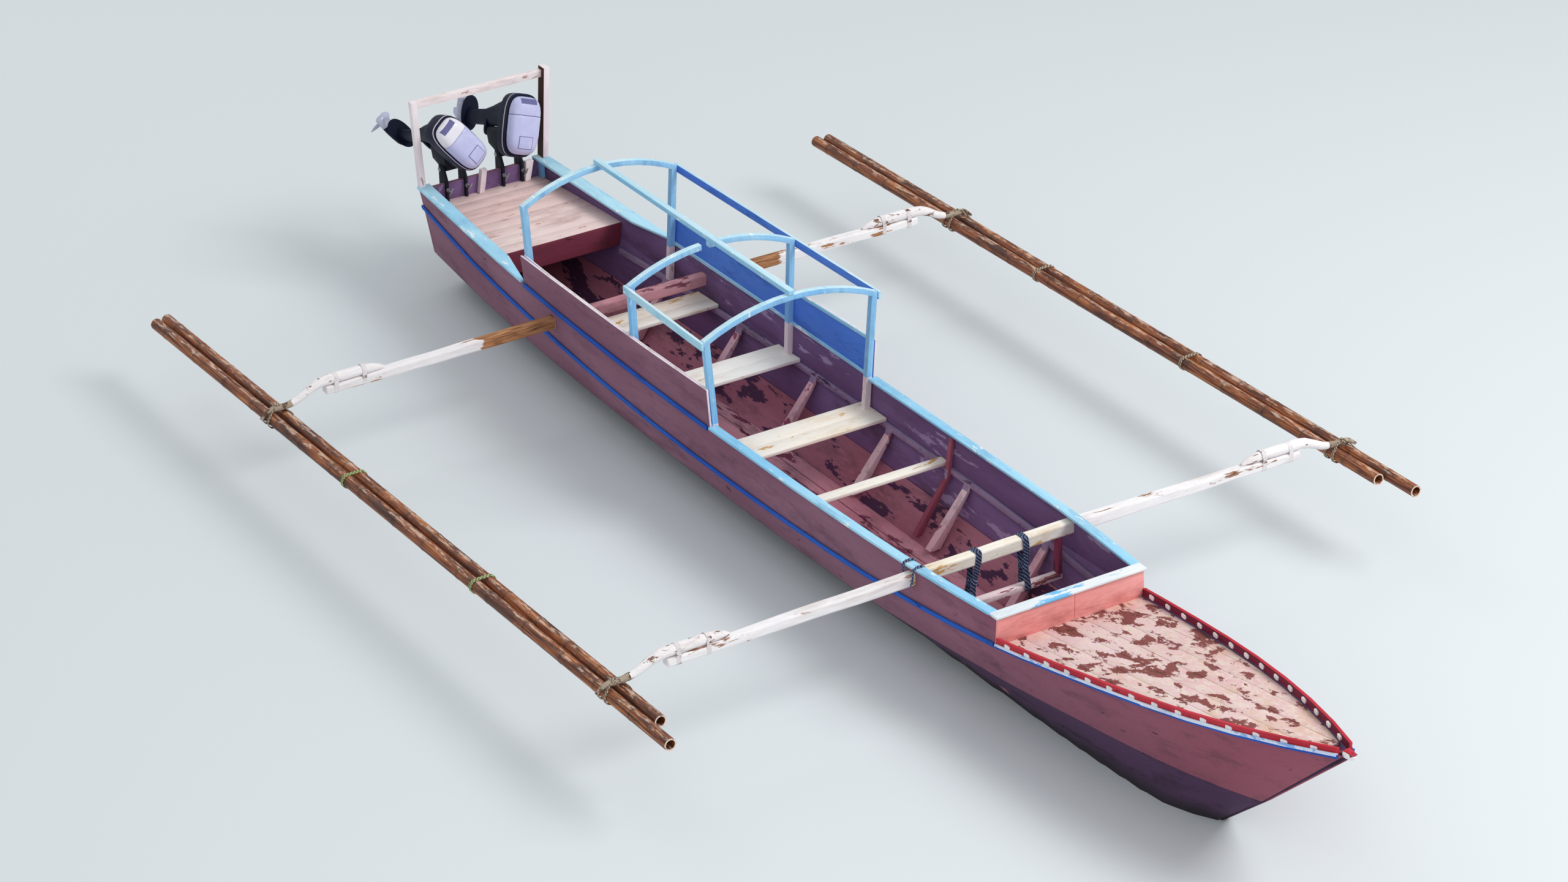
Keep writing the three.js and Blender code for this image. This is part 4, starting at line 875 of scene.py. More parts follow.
    @classmethod
    def planks(cls, board: Piece, axis: int, edges: list[float], gap: float,
               width: float = 2.5 * MM) -> Piece:
        """Splits a board into planks.

        Args:
            board: The whole board, which is used up.
            axis: The axis that the cuts stand across.
            edges: Places of the planks' edges along that axis.
            gap: Width of the seam between two planks.
            width: Width of the rounding along the seams.

        Returns:
            The planks as one object.
        """
        normal = Vector((0, 0, 0))
        normal[axis] = 1
        pieces = []
        for low, high in zip(edges, edges[1:]):
            piece = cls.copy(board.name, board.data)
            for place, side in ((low + gap / 2, "clear_inner"), (high - gap / 2, "clear_outer")):
                cls.edit(piece, select="SELECT")
                bpy.ops.mesh.bisect(plane_co=normal * place, plane_no=normal, use_fill=True, **{side: True})
                cls.close()
            cls.round_edges(piece, width, angle=60)
            pieces.append(piece)
        name = board.name
        bpy.data.objects.remove(board)
        return cls.settle(cls.join(name, pieces))

    @staticmethod
    def paint(obj: Piece, finish: Finish, *coats: tuple[Finish, FaceTest]) -> Piece:
        """Gives a finish to a piece, and others to parts of it.

        Args:
            obj: The piece, which has no material yet.
            finish: The finish of all its faces.
            coats: Finishes with tests of a face's centre and normal, each laid over those before.

        Returns:
            The same piece.
        """
        obj.data.materials.append(finish.material())
        for slot, (coat, test) in enumerate(coats, 1):
            obj.data.materials.append(coat.material())
            for face in obj.data.polygons:
                if test(face.center, face.normal):
                    face.material_index = slot
        return obj

    @staticmethod
    def wobble(obj: Piece, size: float, length: float, seed: int = 1) -> None:
        """Moves points along smooth noise, so that hewn wood isn't straight.

        Args:
            obj: The piece.
            size: How far the points move.
            length: Length of the waves.
            seed: Source of the noise.
        """
        noise.seed_set(seed)
        for vertex in obj.data.vertices:
            vertex.co += noise.noise_vector(vertex.co / length) * size


def keep(obj: Piece, body: str = "root", replaces: tuple[str, ...] = ()) -> Piece:
    """Hangs a finished piece on its body and hides the CAD nodes that it stands for.

    Args:
        obj: The piece.
        body: The CAD body that it rides on.
        replaces: CAD nodes that it stands for.

    Returns:
        The same piece.
    """
    if replaces:
        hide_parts(*replaces)
    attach(obj, body)
    log.info("made %s, %d faces, on %s", obj.name, len(obj.data.polygons), body)
    return obj


def stand_in(node: str, width: float, slot: str, finish: Finish, *coats: tuple[Finish, FaceTest],
             segments: int = 2) -> Piece:
    """Stands a rounded and painted copy in for a CAD node.

    Args:
        node: The CAD node's name.
        width: Width of the rounding.
        slot: A material slot's name, which is not used.
        finish: The finish of all its faces.
        coats: Finishes with tests of a face's centre and normal.
        segments: Steps in the rounding.

    Returns:
        The new piece.
    """
    made = Bench.paint(Bench.soften(node, width, segments), finish, *coats)
    return keep(made, replaces=(node,))


def looks_inboard(centre: Vector, normal: Vector, least: float) -> bool:
    """Whether a face beside the centreline is turned towards it by at least a share."""
    return normal.y * centre.y < -1e-4 and abs(normal.y) > least


def even_edges(low: float, high: float, count: int, spare: float = 0.01) -> list[float]:
    """Edges of so many equal boards across a width, the outer two just past it."""
    return [low - spare + (high - low + 2 * spare) * i / count for i in range(count + 1)]


def slice_at(node: str, x: float) -> list[Vector]:
    """Finds where a CAD node's edges cross the plane of one x.

    Args:
        node: The CAD node's name.
        x: The plane's place.

    Returns:
        The points.
    """
    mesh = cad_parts[node].data
    found = []
    for edge in mesh.edges:
        a, b = (mesh.vertices[i].co for i in edge.vertices)
        if (a.x - x) * (b.x - x) < 0:
            found.append(a.lerp(b, (x - a.x) / (b.x - a.x)))
    return found


def span(points: list[Vector], axis: int) -> tuple[float, float]:
    """Lowest and highest value of points along an axis."""
    values = [p[axis] for p in points]
    return min(values), max(values)


def smooth_route(points: list[Place], per_span: int = 5) -> list[Vector]:
    """Runs a smooth curve through points.

    Args:
        points: The points that it goes through.
        per_span: Steps between two of them.

    Returns:
        The points of the curve.
    """
    p = [Vector(q) for q in points]
    p = [2 * p[0] - p[1], *p, 2 * p[-1] - p[-2]]
    route = []
    for i in range(1, len(p) - 2):
        for k in range(per_span):
            t = k / per_span
            route.append(0.5 * (2 * p[i] + (p[i + 1] - p[i - 1]) * t
                                + (2 * p[i - 1] - 5 * p[i] + 4 * p[i + 1] - p[i + 2]) * t * t
                                + (3 * p[i] - p[i - 1] - 3 * p[i + 1] + p[i + 2]) * t ** 3))
    return [*route, p[-2]]


def squared(angle: float, power: float) -> tuple[float, float]:
    """Cosine and sine of an angle, drawn out towards the corners of a square.

    Args:
        angle: The angle in radians.
        power: Two for a circle, more for a box with round corners.

    Returns:
        The two values.
    """
    c, s = math.cos(angle), math.sin(angle)
    return math.copysign(abs(c) ** (2 / power), c), math.copysign(abs(s) ** (2 / power), s)


def oval(centre: Place, first: Place, second: Place, a: float, b: float, power: float = 2.0,
         count: int = 24) -> list[Vector]:
    """Makes a ring of points on an oval.

    Args:
        centre: Middle of the oval.
        first: Direction of its first axis.
        second: Direction of its second axis.
        a: Half length along the first axis.
        b: Half length along the second axis.
        power: Two for an ellipse, more for a rounder rectangle.
        count: Number of points.

    Returns:
        The points in order.
    """
    centre, first, second = Vector(centre), Vector(first), Vector(second)
    ring = []
    for i in range(count):
        c, s = squared(2 * math.pi * (i + 0.5) / count, power)
        ring.append(centre + first * a * c + second * b * s)
    return ring


# Steps in one turn of a cord
TURN_STEPS = 20


def wrap_route(centre: Place, along: Place, side: Place, half_side: float, half_up: float, turns: int,
               pitch: float, square: float = 2.0, spread: float = 0.0) -> list[Vector]:
    """Winds a cord round a bar or a pair of bars.

    Args:
        centre: Middle of the winding.
        along: Direction of the bar.
        side: One direction across the bar.
        half_side: Half width of the winding in that direction.
        half_up: Half width in the other direction.
        turns: Number of turns.
        pitch: Distance between turns.
        square: Two for an ellipse, more for a box with round corners.
        spread: Half the distance between the middles of two bars side by side.

    Returns:
        The points of the route.
    """
    centre, along, side = Vector(centre), Vector(along).normalized(), Vector(side).normalized()
    up = along.cross(side)
    route = []
    for i in range(turns * TURN_STEPS + 1):
        c, s = squared(2 * math.pi * i / TURN_STEPS, square)
        slide = pitch * (i / TURN_STEPS - turns / 2)
        apart = math.copysign(spread, c) if abs(c) > 1e-6 else 0.0
        route.append(centre + along * slide + side * (c * half_side + apart) + up * s * half_up)
    return route


# Sub-assemblies


@dataclass
class Hull:
    """Planks, keel, transom and rails of the hull."""

    plank_edge: float = 4 * MM
    timber_edge: float = 5 * MM
    stem_red_above: float = 0.3

    def build(self) -> None:
        """Makes and paints the hull's pieces."""
        for side in SIDES:
            for node, slot, outside, inside in (("bottom", "bottom_paint", BOTTOM, BILGE),
                                                ("side", "topside_paint", TOPSIDE, INSIDE),
                                                ("washstrake", "topside_paint", TOPSIDE, INSIDE)):
                stand_in(f"{node}_{side}", self.plank_edge, slot, outside,
                         (inside, lambda c, n: looks_inboard(c, n, 0.15)))
            for node in ("rub_rail", "cabin_rail"):
                stand_in(f"{node}_{side}", self.timber_edge, "blue_paint", BLUE, segments=3)
            # White above, dark blue below
            stand_in(f"bow_rail_{side}", self.timber_edge, "light_blue_paint", BOW_WHITE,
                     (BLUE, lambda c, n: n.z < 0.1), segments=3)
        stand_in("keel_and_stem", self.timber_edge, "bow_red_paint", BOTTOM,
                 (STEM_RED, lambda c, n: c.z > self.stem_red_above))
        stand_in("transom", self.timber_edge, "topside_paint", TOPSIDE, (INSIDE, lambda c, n: n.x > 0.5))


@dataclass
class Foredeck:
    """Deck planks, toe rails with white blocks, stem head and coaming."""

    plank_width: float = 0.165
    seam: float = 4 * MM
    edge: float = 5 * MM
    blocks: int = 14
    block_long: float = 56 * MM
    block_tall: float = 32 * MM
    block_thick: float = 38 * MM
    # Share of the rail's height where the blocks' middles are
    block_up: float = 0.44
    coaming_half: float = 0.66
    coaming_seam_y: float = 0.03

    def build(self) -> None:
        """Makes the foredeck's pieces."""
        low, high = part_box("foredeck")
        count = math.ceil(max(abs(low.y), high.y) / self.plank_width - 0.5)
        edges = [(i - 0.5) * self.plank_width for i in range(-count, count + 2)]
        deck = Bench.planks(Bench.soften("foredeck", 3 * MM), 1, edges, self.seam)
        keep(Bench.paint(deck, DECK), replaces=("foredeck",))
        for side, sign in SIDES.items():
            # The rail's inner faces get the darker red of painted shade
            stand_in(f"toe_rail_{side}", self.edge, "toe_red_paint", TOE_RED,
                     (TOE_SHADED, lambda c, n: n.y * sign < -0.4))
            self.block_row(side)
        edges = [-self.coaming_half, self.coaming_seam_y, self.coaming_half]
        coaming = Bench.planks(Bench.soften("coaming", self.edge), 1, edges, self.seam)
        Bench.paint(coaming, SALMON, (INSIDE, lambda c, n: n.x < -0.5))
        keep(coaming, replaces=("coaming",))
        self.stem_head()

    def block_row(self, side: str, probe: float = 0.02) -> None:
        """Makes the row of white blocks that show on both faces of a toe rail.

        Args:
            side: The boat's side.
            probe: Distance fore and aft of a block where the rail's run is measured.
        """
        node = f"toe_rail_{side}"
        low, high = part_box(node)
        pieces = []
        for i in range(self.blocks):
            x = low.x + (high.x - low.x) * (i + 0.6) / (self.blocks + 0.4)
            fore, aft = slice_at(node, x + probe), slice_at(node, x - probe)
            z0, z1 = span(fore, 2)
            fore_y, aft_y = (sum(span(points, 1)) / 2 for points in (fore, aft))
            along = Vector((2 * probe, fore_y - aft_y, 0)).normalized()
            middle = Vector((x, fore_y, z0 + (z1 - z0) * self.block_up))
            half = along.cross(Z_AXIS) * self.block_thick / 2
            rings = [oval(middle + step, along, Z_AXIS, self.block_long / 2, self.block_tall / 2, 4, 16)
                     for step in (-half, half)]
            pieces.append(Bench.draw_out(f"block_{side}_{i}", rings, 3 * MM))
        keep(Bench.paint(Bench.join(f"toe_rail_blocks_{side}", pieces), WHITE))

    @staticmethod
    def stem_head() -> None:
        """Makes the white nose that closes the rails over the stem."""
        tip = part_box("keel_and_stem")[1]
        rings = []
        # Columns: distance aft of the tip, half width, height of the underside, height of the top
        for back, half, under, top in ((0.002, 0.012, 1.138, 1.160), (0.010, 0.020, 1.128, 1.170),
                                       (0.030, 0.028, 1.120, 1.177), (0.060, 0.033, 1.118, 1.180),
                                       (0.085, 0.037, 1.118, 1.180)):
            middle = (tip.x - back, 0, (under + top) / 2)
            rings.append(oval(middle, Y_AXIS, Z_AXIS, half, (top - under) / 2, 3, 16))
        made = Bench.draw_out("stem_head_cap", rings, 3 * MM, 50)
        keep(Bench.paint(made, WHITE, (TOE_RED, lambda c, n: n.z > 0.55)))


@dataclass
class Caps:
    """Flat boards on top of the wash planks."""

    edge: float = 6 * MM

    def build(self) -> None:
        """Makes and paints the caps."""
        for node in ("cap_side_port", "cap_side_stbd", "cap_stern_port", "cap_stern_stbd", "cap_front"):
            finish = WORN_CAP if node == "cap_front" else SKY
            stand_in(node, self.edge, "light_blue_paint", finish, segments=3)


@dataclass
class Cabin:
    """Bows, ridge, rails and panels of the cabin frame."""

    edge: float = 6 * MM
    # Height that the posts are pink-white up to, and least z of the normal of a face that gets the paler
    # painted sunlight
    band_top: float = 0.86
    sunlit: float = 0.6
    batten_thick: float = 0.012
    batten_deep: float = 0.03
    batten_steps: int = 6
    # Distance of a batten's end from the panel's, and of its middle from the panel's foot or head
    batten_short: float = 0.01
    foot_up: float = 0.018
    head_down: float = 0.012

    def build(self) -> None:
        """Makes the cabin frame's pieces."""
        # Faces that look up get the paler blue of painted sunlight
        bleached = (SKY_SUNLIT_TOP, lambda c, n: n.z > self.sunlit)
        for node in ("cabin_bow_aft", "cabin_bow_front", "cabin_bow_mid_port", "cabin_bow_mid_stbd"):
            made = Bench.soften(node, self.edge, 3)
            Bench.cut_at_height(made, self.band_top)
            Bench.paint(made, SKY_POST, (PINK_WHITE, lambda c, n: c.z < self.band_top), bleached)
            keep(made, replaces=(node,))
        inner_face = (PANEL_BLUE, lambda c, n: abs(c.y) > 0.1 and looks_inboard(c, n, 0.6))
        for node in ("ridge", "top_rail_port", "top_rail_stbd"):
            stand_in(node, self.edge, "light_blue_paint", SKY, bleached, inner_face, segments=3)
        for side, sign in SIDES.items():
            stand_in(f"cabin_panel_{side}", 3 * MM, "panel_paint", TOPSIDE,
                     (PANEL_BLUE, lambda c, n: n.y * sign < -0.3),
                     (PINK_WHITE, lambda c, n: n.z > 0.6 or n.x > 0.8))
            self.battens(side, sign)

    def battens(self, side: str, sign: int) -> None:
        """Makes the light battens along the inner edges of a panel.

        Args:
            side: The boat's side.
            sign: One to port, minus one to starboard.
        """
        node = f"cabin_panel_{side}"
        low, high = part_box(node)
        pieces = []
        for part in ("foot", "head"):
            spine = []
            for i in range(self.batten_steps + 1):
                share = i / self.batten_steps
                x = low.x + self.batten_short + (high.x - low.x - 2 * self.batten_short) * share
                points = slice_at(node, x)
                z0, z1 = span(points, 2)
                near = [abs(p.y) for p in points if (p.z < (z0 + z1) / 2) == (part == "foot")]
                z = z0 + self.foot_up if part == "foot" else z1 - self.head_down
                spine.append((x, sign * (min(near) - self.batten_thick / 2), z))
            pieces.append(Bench.strip(f"{part}_{side}", spine, self.batten_thick, self.batten_deep))
        made = Bench.join(f"panel_battens_{side}", pieces)
        keep(Bench.paint(made, SKY if side == "port" else PINK_WHITE))


@dataclass
class Inside:
    """Seats, risers, ribs and floor."""

    # A seat deeper than this is of two boards, parted at this share of it
    two_boards_over: float = 0.2
    seam_at: float = 0.55
    seam: float = 4 * MM
    # Depth of a riser's board, under which the frames' arms show, and the frame that is maroon
    riser_deep: float = 0.044
    maroon_x: float = 0.151
    maroon_half: float = 0.025
    maroon_below: float = 0.52
    floor_boards: int = 5
    floor_seam: float = 8 * MM
    # The front crossbeam's middle, top and underside, and the tie beam under it
    beam_x: float = 1.683
    beam_top: float = 0.835
    beam_under: float = 0.739
    tie_half: float = 0.578
    tie_wide: float = 0.072
    tie_low: float = 0.400
    tie_top: float = 0.440
    upright_wide: float = 0.064
    # Distances of an upright's two faces from the tie beam's end
    upright_y: tuple[float, float] = (0.034, 0.002)
    cord: float = 6 * MM

    def build(self) -> None:
        """Makes what shows inside the hull."""
        for node in ("seat_aft", "seat_mid", "seat_front", "seat_bar"):
            made = Bench.soften(node, 5 * MM)
            low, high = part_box(node)
            if high.x - low.x > self.two_boards_over:
                edges = [low.x - 0.01, low.x + (high.x - low.x) * self.seam_at, high.x + 0.01]
                made = Bench.planks(made, 0, edges, self.seam)
            keep(Bench.paint(made, CREAM), replaces=(node,))
        self.risers()
        stand_in("floor_timbers", 4 * MM, "inside_paint", ARM_PINK)
        low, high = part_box("floor_boards")
        edges = even_edges(low.y, high.y, self.floor_boards)
        boards = Bench.planks(Bench.soften("floor_boards", 3 * MM), 1, edges, self.floor_seam)
        keep(Bench.paint(boards, FLOOR), replaces=("floor_boards",))
        self.tie_beam()
        self.beam_lashings()
        self.cap_rope()

    def risers(self) -> None:
        """Makes the boards under the seats, with the frames' arms, one of them maroon."""
        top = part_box("riser_stbd")[1].z
        arms = (ARM_PINK, lambda c, n: c.z < top - self.riser_deep)
        maroon = (RIB_MAROON, lambda c, n: (abs(c.x - self.maroon_x) < self.maroon_half
                                            and (c.z > top or c.z < self.maroon_below)))
        for side in SIDES:
            coats = (arms, maroon) if side == "port" else (arms,)
            stand_in(f"riser_{side}", 4 * MM, "inside_paint", RISER, *coats)

    def tie_beam(self) -> None:
        """Makes the timber under the front beam and the uprights between them."""
        x, low, top = self.beam_x, self.tie_low, self.tie_top
        half, reach = self.tie_wide / 2, self.tie_half
        timber = Bench.box("tie_beam", (x - half, -reach, low), (x + half, reach, top), 5 * MM)
        keep(Bench.paint(timber, TIE_PINK))
        half = self.upright_wide / 2
        pieces = []
        for side, sign in SIDES.items():
            y0, y1 = sorted(sign * (reach - short) for short in self.upright_y)
            pieces.append(Bench.box(f"upright_{side}", (x - half, y0, top), (x + half, y1, self.beam_under)))
        keep(Bench.paint(Bench.join("beam_uprights", pieces), RIB_MAROON))

    def beam_lashings(self, waist_z: float = 0.60, waist_reach: float = 0.17, drawn_in: float = 0.55) -> None:
        """Makes the two ropes that pull the front beam down on its tie, each drawn in at its waist.

        Args:
            waist_z: Height of the waist.
            waist_reach: Distance above and below it where the rope is drawn in.
            drawn_in: Share of its half width that it is drawn in by.
        """
        x, low, top = self.beam_x, self.tie_low, self.beam_top
        pieces = []
        # Columns: y at the top, how far the foot is to port of it
        for i, (y, lean) in enumerate(((-0.155, -0.05), (0.24, 0.04))):
            route = wrap_route((x, y, (top + low) / 2), Y_AXIS, X_AXIS, half_side=0.050,
                               half_up=(top - low) / 2 + 7 * MM, turns=4, pitch=13 * MM, square=7.0)
            for point in route:
                point.y += lean * (point.z - top) / (low - top)
                near = max(0.0, 1 - abs(point.z - waist_z) / waist_reach)
                point.x = x + (point.x - x) * (1 - drawn_in * near)
            pieces.append(Bench.tube(f"beam_lashing_{i}", route, self.cord))
            waist = wrap_route((x, y + lean * 0.5, waist_z), Z_AXIS, X_AXIS, half_side=0.028, half_up=0.036,
                               turns=4, pitch=12 * MM)
            pieces.append(Bench.tube(f"beam_frapping_{i}", waist, self.cord))
        keep(Bench.paint(Bench.join("front_beam_lashings", pieces), ROPE_DARK))

    def cap_rope(self, apart: float = 0.054, step: float = 0.013, under: float = 0.735) -> None:
        """Makes the rope that goes round the front beam and over the starboard cap.

        Args:
            apart: Distance of the first turn from the beam's middle, fore and aft.
            step: Distance from one turn to the next.
            under: Height where it passes under the beam.
        """
        x = self.beam_x
        cap = slice_at("cap_side_stbd", x)
        (y0, y1), (_, top) = span(cap, 1), span(cap, 2)
        # Where it passes the cap's edges and crown, and the sides and foot of the loop round the beam
        out, crown, edge_z = 0.009, top + 0.009, top - 0.01
        side_out, side_z, foot_out, foot_z = 0.012, under + 0.05, 0.02, under - 0.012
        points = []
        for i in range(2):
            fore, aft = x + apart + i * step, x - apart - i * step
            points += [(fore, y0 - out, edge_z), (fore, (y0 + y1) / 2, crown), (fore, y1 + out, edge_z),
                       (fore - 0.004, y1 + side_out, side_z), (x, y1 + foot_out, foot_z),
                       (x - 0.052, y1 + side_out, side_z), (aft, y1 + out, edge_z),
                       (aft, (y0 + y1) / 2, crown), (aft, y0 - out, edge_z),
                       (x - 0.052, y0 - side_out, side_z), (x, y0 - foot_out, foot_z),
                       (fore, y0 - side_out, side_z)]
        made = Bench.tube("cap_rope_stbd", smooth_route(points), self.cord)
        keep(Bench.paint(made, ROPE_DARK))


@dataclass(frozen=True)
class Arm:
    """Where one crossbeam goes out over one side."""

    beam: str
    side: str
    x: float
    # Height of the beam's top at its bend and at its tip
    root: float
    tip: float

    @property
    def sign(self) -> int:
        """One to port, minus one to starboard."""
        return SIDES[self.side]


@dataclass
class Outriggers:
    """Crossbeams, crooks, bamboo poles and their lashings."""

    beam_half: float = 2.69
    beam_bend: float = 0.69
    beam_wide: float = 0.084
    # Depth of a beam at its bend and at its tips
    beam_deep: tuple[float, float] = (0.096, 0.066)
    beam_steps: int = 46
    # How far the adze left its faces uneven, and the length of its waves
    uneven: float = 5 * MM
    uneven_length: float = 0.35
    hull_half: float = 0.66
    branch_radius: float = 0.041
    # The paint is off the crooks beyond this
    hook_y: float = 2.97
    whippings_y: tuple[float, float] = (2.36, 2.60)
    poles_y: tuple[float, float] = (3.036, 3.140)
    pole_radius: float = 0.049
    # The poles' aft end, the height of their middle there, and their rise for each metre forward
    pole_foot: tuple[float, float, float] = (-5.365, 0.562, 0.0148)
    knot_step: tuple[float, float] = (0.38, 0.56)
    bore_depth: float = 0.2
    cane_wall: float = 11 * MM
    ties_x: tuple[float, float] = (-2.10, -0.15)
    rope: float = 4.5 * MM

    def build(self) -> None:
        """Makes both outriggers."""
        # Columns: beam, x, height of its top at its bend and at its tips
        for name, x, root, tip in (("front", 1.683, 0.835, 0.800), ("rear", -3.340, 0.775, 0.742)):
            arms = [Arm(name, side, x, root, tip) for side in SIDES]
            self.beam(arms[0])
            for arm in arms:
                self.crook(arm)
                self.whippings(arm)
                self.cross_lashing(arm)
        for side, sign in SIDES.items():
            self.float_poles(side, sign)
            self.ties(side, sign)

    def pole_z(self, x: float) -> float:
        """Height of the poles' middle at x."""
        return self.pole_foot[1] + self.pole_foot[2] * (x - self.pole_foot[0])

    def along_beam(self, y: float, at_bend: float, at_tip: float) -> float:
        """A size of a beam at y, even between its bends and changing steadily out to its tips."""
        share = (min(abs(y), self.beam_half) - self.beam_bend) / (self.beam_half - self.beam_bend)
        return at_bend + (at_tip - at_bend) * max(share, 0.0)

    def beam(self, arm: Arm) -> None:
        """Makes one crossbeam as a hewn timber.

        Args:
            arm: Either of the beam's arms.
        """
        x0, x1 = arm.x - self.beam_wide / 2, arm.x + self.beam_wide / 2
        rings = []
        for i in range(self.beam_steps + 1):
            y = self.beam_half * (2 * i / self.beam_steps - 1)
            top = self.along_beam(y, arm.root, arm.tip)
            low = top - self.along_beam(y, *self.beam_deep)
            rings.append([Vector((x, y, z)) for x, z in ((x0, low), (x1, low), (x1, top), (x0, top))])
        made = Bench.draw_out(f"crossbeam_{arm.beam}_timber", rings, 14 * MM, 50)
        Bench.wobble(made, self.uneven, self.uneven_length)
        Bench.settle(made)
        outside, within = (BEAM_WHITE, CREAM) if arm.beam == "front" else (BEAM_PART_BARE, BEAM_ROSE)
        Bench.paint(made, outside, (within, lambda c, n: abs(c.y) < self.hull_half))
        keep(made, replaces=(f"crossbeam_{arm.beam}",))

    def crook(self, arm: Arm) -> None:
        """Makes one grown branch, scarfed on to the beam and hooked over the poles.

        Args:
            arm: The arm that it ends.
        """
        float_top = self.pole_z(arm.x) + self.pole_radius + 1 * MM
        # Columns: y, radius, share of the way down from the beam's top to the float's top
        rows = ((2.180, 0.012, 0.0), (2.235, 0.026, 0.0), (2.330, 0.037, 0.0), (2.480, 0.041, 0.0),
                (2.690, 0.040, 0.0), (2.770, 0.037, 0.16), (2.850, 0.033, 0.50), (2.930, 0.029, 0.86),
                (3.000, 0.026, 1.0), (3.090, 0.023, 1.0), (3.160, 0.019, 1.0), (3.232, 0.011, 1.45))
        points = []
        for y, radius, share in rows:
            under = self.along_beam(y, arm.root, arm.tip) * (1 - share) + float_top * share
            points.append((arm.x, arm.sign * y, under + radius))
        route = smooth_route(points)
        scales = [p.x for p in smooth_route([(radius / self.branch_radius, 0, 0) for _, radius, _ in rows])]
        rng = random.Random(arm.beam + arm.side)
        for i, scale in enumerate(scales):
            knob = 0.1 * max(0.0, noise.noise(Vector((i * 0.31, arm.sign * 3.0, arm.x))))
            scales[i] = min(scale * (1 + knob + rng.uniform(-0.02, 0.02)), 1.04)
            route[i].x += 5 * MM * noise.noise(Vector((i * 0.17, arm.x, arm.sign * 7.0)))
        made = Bench.tube(f"branch_{arm.beam}_{arm.side}", route, self.branch_radius, 14, scales)
        Bench.paint(made, BRANCH, (HOOK, lambda c, n: abs(c.y) > self.hook_y))
        keep(made, replaces=(f"crook_{arm.beam}_{arm.side}",))

    def whippings(self, arm: Arm, turns: int = 7, cord: float = 2.6 * MM) -> None:
        """Ties a branch to its beam in two places, with cord that was painted over with them.

        Args:
            arm: The arm that the branch ends.
            turns: Turns in each place.
            cord: Radius of the cord.
        """
        reach = self.branch_radius + cord
        pieces = []
        for place, y in enumerate(self.whippings_y):
            middle = self.along_beam(y, arm.root, arm.tip) + self.branch_radius
            down = reach + self.along_beam(y, *self.beam_deep)
            route = []
            for i in range(turns * TURN_STEPS + 1):
                angle = 2 * math.pi * i / TURN_STEPS
                # Round over the branch, square under the beam
                over = math.sin(angle) > 0
                c, s = squared(angle, 2.0 if over else 8.0)
                route.append((arm.x + c * reach,
                              arm.sign * (y + 2 * cord * (i / TURN_STEPS - turns / 2)),
                              middle + s * (reach if over else down)))
            pieces.append(Bench.tube(f"whipping_{place}", route, cord, 6))
        made = Bench.join(f"whippings_{arm.beam}_{arm.side}", pieces)
        keep(Bench.paint(made, BRANCH))

    def cross_lashing(self, arm: Arm, turns: int = 3, first: float = 0.034, cross_y: float = 3.088) -> None:
        """Ties a branch to both poles with turns that cross on its back.

        Args:
            arm: The arm that the branch ends.
            turns: Turns each way.
            first: Distance of the first turn from the branch's middle, fore and aft.
            cross_y: Where the turns cross.
        """
        inner, outer = self.poles_y
        z, r = self.pole_z(arm.x), self.pole_radius + self.rope
        points = []
        for turn in range(turns):
            off = first + turn * 2.1 * self.rope
            crown = z + self.pole_radius + 0.048 + self.rope * (1 + turn * 0.3)
            for way in (-off, off):
                # Columns: share of the way fore or aft, y, height
                for share, y, height in ((1, inner - r, z), (1, inner - 0.02, z - r),
                                         (1, outer + 0.02, z - r), (1, outer + r, z),
                                         (0.75, outer + 0.02, z + r), (0, cross_y, crown),
                                         (-0.75, inner - 0.02, z + r)):
                    points.append((arm.x + way * share, arm.sign * y, height))
        made = Bench.tube(f"cross_lashing_{arm.beam}_{arm.side}", smooth_route(points), self.rope)
        keep(Bench.paint(made, ROPE_GREY))

    def ties(self, side: str, sign: int) -> None:
        """Ties the two poles of one float together between the beams.

        Args:
            side: The boat's side.
            sign: One to port, minus one to starboard.
        """
        inner, outer = self.poles_y
        reach = self.pole_radius + self.rope * 0.6
        pieces = []
        for i, x in enumerate(self.ties_x):
            centre = (x, sign * (inner + outer) / 2, self.pole_z(x))
            route = wrap_route(centre, X_AXIS, Y_AXIS, half_side=reach, half_up=reach, turns=3, pitch=12 * MM,
                               spread=(outer - inner) / 2)
            pieces.append(Bench.tube(f"tie_{side}_{i}", route, self.rope))
        made = Bench.join(f"pole_ties_{side}", pieces)
        keep(Bench.paint(made, ROPE_GREEN if side == "stbd" else ROPE_GREY))

    def float_poles(self, side: str, sign: int, measure_x: float = -1.6) -> None:
        """Makes the two bamboo poles of one float where the CAD has them.

        Args:
            side: The boat's side.
            sign: One to port, minus one to starboard.
            measure_x: Where a pole's width is measured, clear of the bands.
        """
        node = f"float_{side}"
        low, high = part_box(node)
        middle = sum(span(slice_at(node, (low.x + high.x) / 2), 1)) / 2
        rng = random.Random(7 + sign)
        pieces, tips = [], []
        for part, way in (("outer", sign), ("inner", -sign)):
            own = [v.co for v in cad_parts[node].data.vertices if (v.co.y - middle) * way > 0]
            x0, x1 = span(own, 0)
            cuts = [[p for p in slice_at(node, x) if (p.y - middle) * way > 0]
                    for x in (measure_x, x0 + 0.06, x1 - 0.06)]
            y0, y1 = span(cuts[0], 1)
            ends = [(sum(span(cut, 1)) / 2, sum(span(cut, 2)) / 2) for cut in cuts[1:]]
            start, end = (Vector((x, *place)) for x, place in zip((x0, x1), ends))
            pieces.append(self.pole(f"{part}_{side}", start, end, (y1 - y0) / 2, rng))
            tips += [x0, x1]
        made = Bench.join(f"bamboo_poles_{side}", pieces)
        Bench.paint(made, CANE, (CUT_CANE, lambda c, n: (
            abs(n.x) > 0.9 and min(abs(c.x - tip) for tip in tips) < 3 * MM)))
        keep(made, replaces=(node,))

